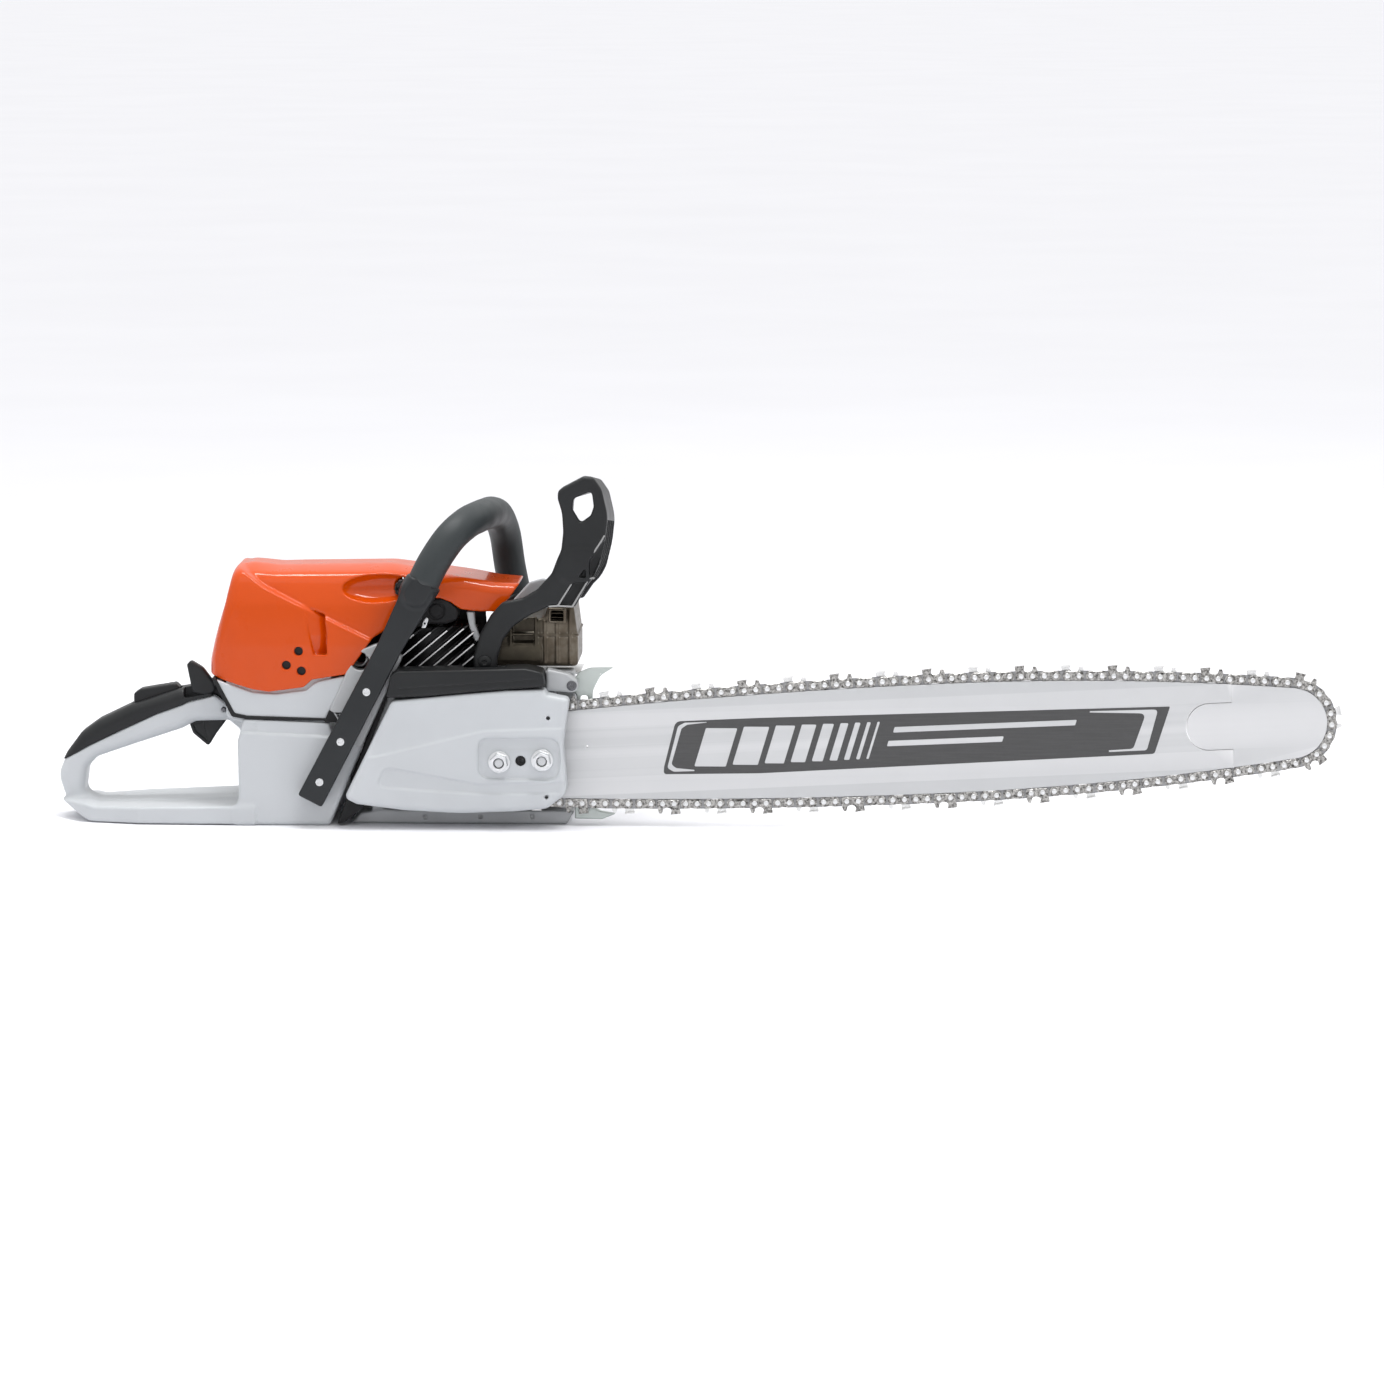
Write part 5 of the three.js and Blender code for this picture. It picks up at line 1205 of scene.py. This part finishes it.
def upper_side(lift, tail=True):
    """Line at a height above the upper rail, from the drive sprocket to the tip of the nose."""
    front_arc = ((NOSE_AT - BAR_PEAK) ** 2 / (BAR_HALF - NOSE_RADIUS) + BAR_HALF + NOSE_RADIUS) / 2
    rear, front = (BAR_PEAK, BAR_HALF - REAR_ARC), (BAR_PEAK, BAR_HALF - front_arc)
    bend = math.atan2(math.sqrt(REAR_ARC ** 2 - (BAR_PEAK - TAIL_START) ** 2), TAIL_START - BAR_PEAK)
    centre = (rear[0] + (REAR_ARC - TAIL_ARC) * math.cos(bend),
        rear[1] + (REAR_ARC - TAIL_ARC) * math.sin(bend))
    reach = (centre[0] + SPROCKET_BACK, centre[1])
    lap = math.acos((SPROCKET_RADIUS - TAIL_ARC - RIVET_LIFT) / math.hypot(*reach))
    leave = math.atan2(reach[1], reach[0]) + lap
    meet = math.atan2(-front[1], NOSE_AT - front[0])
    parts = [arc(centre, TAIL_ARC + lift, leave, bend, 12), arc(rear, REAR_ARC + lift, bend, math.pi / 2,
        40)[1:], arc(front, front_arc + lift, math.pi / 2, meet, 36)[1:], arc((NOSE_AT, 0),
        NOSE_RADIUS + lift, meet, 0, 24)[1:]]
    if tail:
        parts.insert(0, arc((-SPROCKET_BACK, 0), SPROCKET_RADIUS, math.pi, leave, 16)[:-1])
    return np.concatenate(parts)


def mirrored(line):
    return (line * (1, -1))[::-1]


def in_bar(a, b, y):
    """A point given along (a) and across (b) the bar from its mouth, in metres of the shared frame."""
    return at(MOUTH[0] + a * math.cos(TILT) - b * math.sin(TILT), BAR_Y + y,
        MOUTH[1] + a * math.sin(TILT) + b * math.cos(TILT))


def tongue(gap):
    """The line where the nose is let into the bar, from the upper rail to the lower."""
    reach, end = TONGUE_RADIUS + gap, NOSE_JOINT + 0.02 * gap
    curve = arc((TONGUE_CENTRE, 0), reach, math.pi / 2, 3 * math.pi / 2, 24)
    return np.array([(end, reach), *curve, (end, -reach)])


def guide_bar():
    rail = upper_side(0, tail=False)
    rail = rail[(rail[:, 0] > TAIL_START - 60) & (rail[:, 0] < NOSE_JOINT - 2)]
    upper = np.array([(TAIL_END, 0), (TAIL_END, 15), (TAIL_END + 2, 19.5), (TAIL_END + 6, 22.6),
        *rail[rail[:, 0] > TAIL_END + 12], (NOSE_JOINT, np.interp(NOSE_JOINT, rail[:, 0], rail[:, 1]))])
    outline = np.array([*upper, *tongue(0.55), *mirrored(upper)[:-1]])
    slot = rounded([(-73, -4.6, 4.4), (-8, -4.6, 4.4), (-8, 4.6, 4.4), (-73, 4.6, 4.4)], 8)
    holes = [slot] + [arc((-58, side * 17.5), 4.2, 0, 2 * math.pi, 24)[:-1] for side in (-1, 1)]
    oil_hole = arc((14.7, 6.4), 0.9, 0, 2 * math.pi, 12)[:-1]
    half, groove = BAR_HALF_THICK, 0.82
    levels = [(-half, 0.25), (0.2 - half, 0), (-groove, 0), (-groove, 4), (groove, 4), (groove, 0),
        (half - 0.2, 0), (half, 0.25)]
    plates = Plates()
    plates.add([outline, *holes, oil_hole], levels, in_bar)
    stands_for(plates.piece("guide_bar"), "guide_bar")


def bar_nose():
    side = upper_side(0, tail=False)
    upper = np.array([(NOSE_JOINT, np.interp(NOSE_JOINT, side[:, 0], side[:, 1])),
        *side[side[:, 0] > NOSE_JOINT + 1]])
    outline = np.array([*upper, *mirrored(upper)[1:], *tongue(0)[::-1]])
    plates = Plates()
    plates.add([outline], chamfered(-BAR_HALF_THICK, -1.0, 0.2), in_bar)
    plates.add([outline], chamfered(1.0, BAR_HALF_THICK, 0.2), in_bar)
    core = [*tongue(0)[::-1], (567, 12), (562.2, 0), (567, -12)]
    plates.add([core], chamfered(-1.02, 1.02, 0.01), in_bar)
    stands_for(plates.piece("bar_nose"), "bar_nose")
    wheel = []
    for i in range(11):
        angle = 2 * math.pi * i / 11
        wheel += [(28.6 * math.cos(angle + s * 0.05), 28.6 * math.sin(angle + s * 0.05)) for s in (-1, 1)]
        dips = ((24, 0.16), (22, 0.2856), (24, 0.411))
        wheel += [(r * math.cos(angle + t), r * math.sin(angle + t)) for r, t in dips]
    bearing = arc((0, 0), 9, 0, 2 * math.pi, 32)[:-1]
    sprocket = Plates()
    sprocket.add([wheel, bearing], chamfered(-0.8, 0.8, 0.2), lambda a, b, y: in_bar(NOSE_AT + a, b, y))
    stands_for(sprocket.piece("nose_sprocket"), "nose_sprocket")


STRIPE_WIDTHS = (26, 21, 16, 12, 9, 6.5, 4.5, 3, 2)


def bar_panel():
    """The printed panel on the bar: a dark field with light lines at its ends and plain slanted bars."""
    frame_line = rounded([(499, 50, 5), (508.5, 88, 6), (578, 91.2, 200), (916, 102.3, 1), (903.5, 62.9, 3),
        (896, 62.4), (578, 45, 200), (498.5, 43.8, 6)])
    left = rounded([(524, 46.6), (507, 45.9, 5), (501.6, 49, 3), (510.5, 84, 4), (516, 86.9, 3),
        (534, 87.6), (534, 87.1), (518, 85.2, 4), (513.4, 82, 3), (505, 52, 3), (509, 49, 3), (524, 47.6)])
    right = rounded([(850, 98.1), (906.2, 99.8, 3), (897.2, 65.8, 3), (866, 64.2), (866, 65.6),
        (886, 67, 4), (896.2, 96.4, 4), (850, 97)])
    holes = [left, right]
    for i, width in enumerate(STRIPE_WIDTHS):
        start = 524 + sum(STRIPE_WIDTHS[:i]) + 5.5 * i
        low, high = 50.5 + 0.049 * (start - 524), 82.5 + 0.042 * (start - 524)
        lean = 0.3 * (high - low)
        holes.append(rounded([(start, low, 1), (start + width, low, 1), (start + width + lean, high, 1),
            (start + lean, high, 1)], 3))
    for row, (first, last) in enumerate(((688, 838), (683, 778))):
        low = 79.5 - 11.5 * row
        rise = 0.045 * (last - first)
        holes.append(rounded([(first, low, 0.8), (last, low + rise, 0.8),
            (last + 1.4, low + rise + 4.6, 0.8), (first + 1.4, low + 4.6, 0.8)], 3))
    face = BAR_Y - BAR_HALF_THICK
    plates = Plates()
    plates.add([frame_line, *holes], chamfered(face - 0.06, face, 0.01), lambda a, b, y: at(a, y, b))
    goes_with(plates.piece("bar_panel"), "bar", "black_plastic", printed_ink())


def printed_ink():
    """Dark grey ink, a little uneven where it lies over the brushed paint."""
    s = Shader("printed_ink")
    s.set(Base_Color=s.ramp(s.noise(160, 4, 0.6, (0.2, 4, 4)), [(0.3, (0.05, 0.05, 0.051)),
        (0.7, (0.064, 0.064, 0.065))]))
    s.set(Roughness=s.span(s.noise(400, 3), 0.4, 0.55))
    return s.bump(s.noise(1200, 3), 0.2, 0.00001).material


def chain():
    half = upper_side(RIVET_LIFT)
    line = np.concatenate([half, mirrored(half)[1:]])
    run = np.concatenate([[0], np.cumsum(np.linalg.norm(np.diff(line, axis=0), axis=1))])
    spacing = run[-1] / RIVETS

    def along(steps):
        """Place and heading on the chain's centre line, steps of one rivet spacing from the first cutter."""
        ends = []
        for step in (steps - 0.5, steps + 0.5):
            where = (step * spacing + CUTTER_LEAD) % run[-1]
            ends.append(np.array((np.interp(where, run, line[:, 0]), np.interp(where, run, line[:, 1]))))
        way = (ends[1] - ends[0]) / np.linalg.norm(ends[1] - ends[0])
        return (ends[0] + ends[1]) / 2, way

    def placer(steps, mirror=1):
        middle, way = along(steps)

        def place(a, b, y):
            spot = middle + a * way + b * np.array((-way[1], way[0]))
            return in_bar(spot[0], spot[1], mirror * y)
        return place

    reach = spacing / 2
    strap = np.concatenate([arc((reach, 0), 4.1, -math.pi / 2, math.pi / 2, 8), [(0, 3.6)], arc((-reach, 0),
        4.1, math.pi / 2, 3 * math.pi / 2, 8), [(0, -3.6)]])
    drive = rounded([(-8, 3.4, 1), (-5.5, 4.2, 2), (5.5, 4.2, 2), (8, 3.4, 1), (8, -2, 2), (4.6, -3.9, 2),
        (1.8, -7.7, 1), (-1.2, -7.7, 1.5), (-3.4, -4, 3), (-8, -2.2, 2)], 3)
    side_plate = rounded([(-9.2, -3.3, 1.5), (9, -3.3, 1.5), (9.4, 1, 2), (8.6, 5, 1), (7.6, 7.9, 0.8),
        (5.3, 8.1, 0.8), (4.2, 4, 1.5), (1.6, 2.9, 1.5), (-1.4, 3.6, 1), (-2.8, 5.4, 1), (-2.0, 8.7),
        (-10, 7.9, 0.5), (-9.4, 3, 1)], 2)
    top_plate = [(-10, 6.8), (-2.5, 7.5), (-1.9, 8.8), (-10, 8.0)]
    straps, links, cutters, rivets = Plates(), Plates(), Plates(), Plates()
    for i in range(RIVETS // 2):
        links.add([drive], chamfered(-0.75, 0.75, 0.15), placer(2 * i + 1))
        cutter_side = 0 if i % 2 else (1 if i % 4 else -1)
        for side in (-1, 1):
            place = placer(2 * i, side)
            if side == cutter_side:
                cutters.add([side_plate], chamfered(0.85, 2.4, 0.2), place)
                cutters.add([top_plate], chamfered(-1.6, 3.1, 0.15), place)
            else:
                straps.add([strap], chamfered(0.85, 2.3, 0.25), place)
    head = arc((0, 0), 2.2, 0, 2 * math.pi, 12)[:-1]
    dome = [(-3.0, 0.9), (-2.75, 0.3), (-2.3, 0), (2.3, 0), (2.75, 0.3), (3.0, 0.9)]
    for i in range(RIVETS):
        rivets.add([head], dome, placer(i + 0.5))
    stands_for(straps.piece("chain_straps"), "saw_chain")
    # The drive links take the dark steel finish: painted shade between the straps.
    stands_for(links.piece("drive_links"), "saw_chain", finish="dark_steel")
    stands_for(cutters.piece("chain_cutters"), "saw_chain")
    stands_for(rivets.piece("chain_rivets"), "saw_chain", finish="bright_steel")


guide_bar()
bar_nose()
bar_panel()
chain()


# ---- camera, floor and light -----------------------------------------------------------------
VIEW_AZIMUTH, VIEW_ELEVATION = math.radians(2), math.radians(7.5)
VIEW_DISTANCE = 5.0                          # metres
VIEW_CENTRE = (522, BAR_Y, 112.2)            # the point at the middle of the picture
LENS, SENSOR = 157.5, 36                     # mm
FLOOR_HALF = 80.0                            # metres
HORIZON_LIGHT, OVERHEAD_LIGHT = 0.64, 1.26   # strength of the white surroundings


def look_from():
    camera = bpy.data.objects.new("camera", bpy.data.cameras.new("camera"))
    bpy.context.scene.collection.objects.link(camera)
    back = Vector((math.sin(VIEW_AZIMUTH) * math.cos(VIEW_ELEVATION),
        -math.cos(VIEW_AZIMUTH) * math.cos(VIEW_ELEVATION), math.sin(VIEW_ELEVATION)))
    camera.location = at(*VIEW_CENTRE) + VIEW_DISTANCE * back
    camera.rotation_euler = (-back).to_track_quat("-Z", "Y").to_euler()
    camera.data.lens = LENS
    camera.data.sensor_width = SENSOR
    camera.data.clip_end = 400
    bpy.context.scene.camera = camera


def floor():
    mesh = bpy.data.meshes.new("floor")
    corners = [(FLOOR_HALF * a, FLOOR_HALF * b, 0) for a, b in ((-1, -1), (1, -1), (1, 1), (-1, 1))]
    mesh.from_pydata(corners, [], [(0, 1, 2, 3)])
    made = new_object("floor", mesh)
    s = Shader("floor")
    s.set(Base_Color=s.ramp(s.noise(2), [(0.3, (0.83, 0.83, 0.86)), (0.7, (0.85, 0.85, 0.88))]),
        Roughness=0.9)
    mesh.materials.append(s.material)


def lamp(name, place, size, power):
    light = bpy.data.lights.new(name, "AREA")
    light.shape, light.size, light.size_y, light.energy = "RECTANGLE", size[0], size[1], power
    made = bpy.data.objects.new(name, light)
    bpy.context.scene.collection.objects.link(made)
    made.location = place
    made.rotation_euler = (-Vector(place)).to_track_quat("-Z", "Y").to_euler()


def studio():
    """White surroundings, brighter overhead than at the horizon."""
    world = bpy.data.worlds.new("studio")
    world.use_nodes = True
    nodes, links = world.node_tree.nodes, world.node_tree.links
    nodes["Background"].inputs["Color"].default_value = (1, 1, 1, 1)
    up = nodes.new("ShaderNodeSeparateXYZ")
    links.new(nodes.new("ShaderNodeTexCoord").outputs["Generated"], up.inputs["Vector"])
    rise = nodes.new("ShaderNodeMapRange")
    for key, number in zip(RANGE_LIMITS, (0.0, 0.9, HORIZON_LIGHT, OVERHEAD_LIGHT)):
        rise.inputs[key].default_value = number
    links.new(up.outputs["Z"], rise.inputs["Value"])
    links.new(rise.outputs["Result"], nodes["Background"].inputs["Strength"])
    bpy.context.scene.world = world


look_from()
floor()
lamp("key", (-1.0, -2.4, 2.8), (2.6, 1.2), 5)
lamp("strip", (-0.1, -0.15, 2.0), (1.7, 0.22), 26)
lamp("rim", (1.6, 2.4, 2.2), (2.6, 1.2), 7)
studio()
bpy.context.scene.view_settings.view_transform = "Standard"
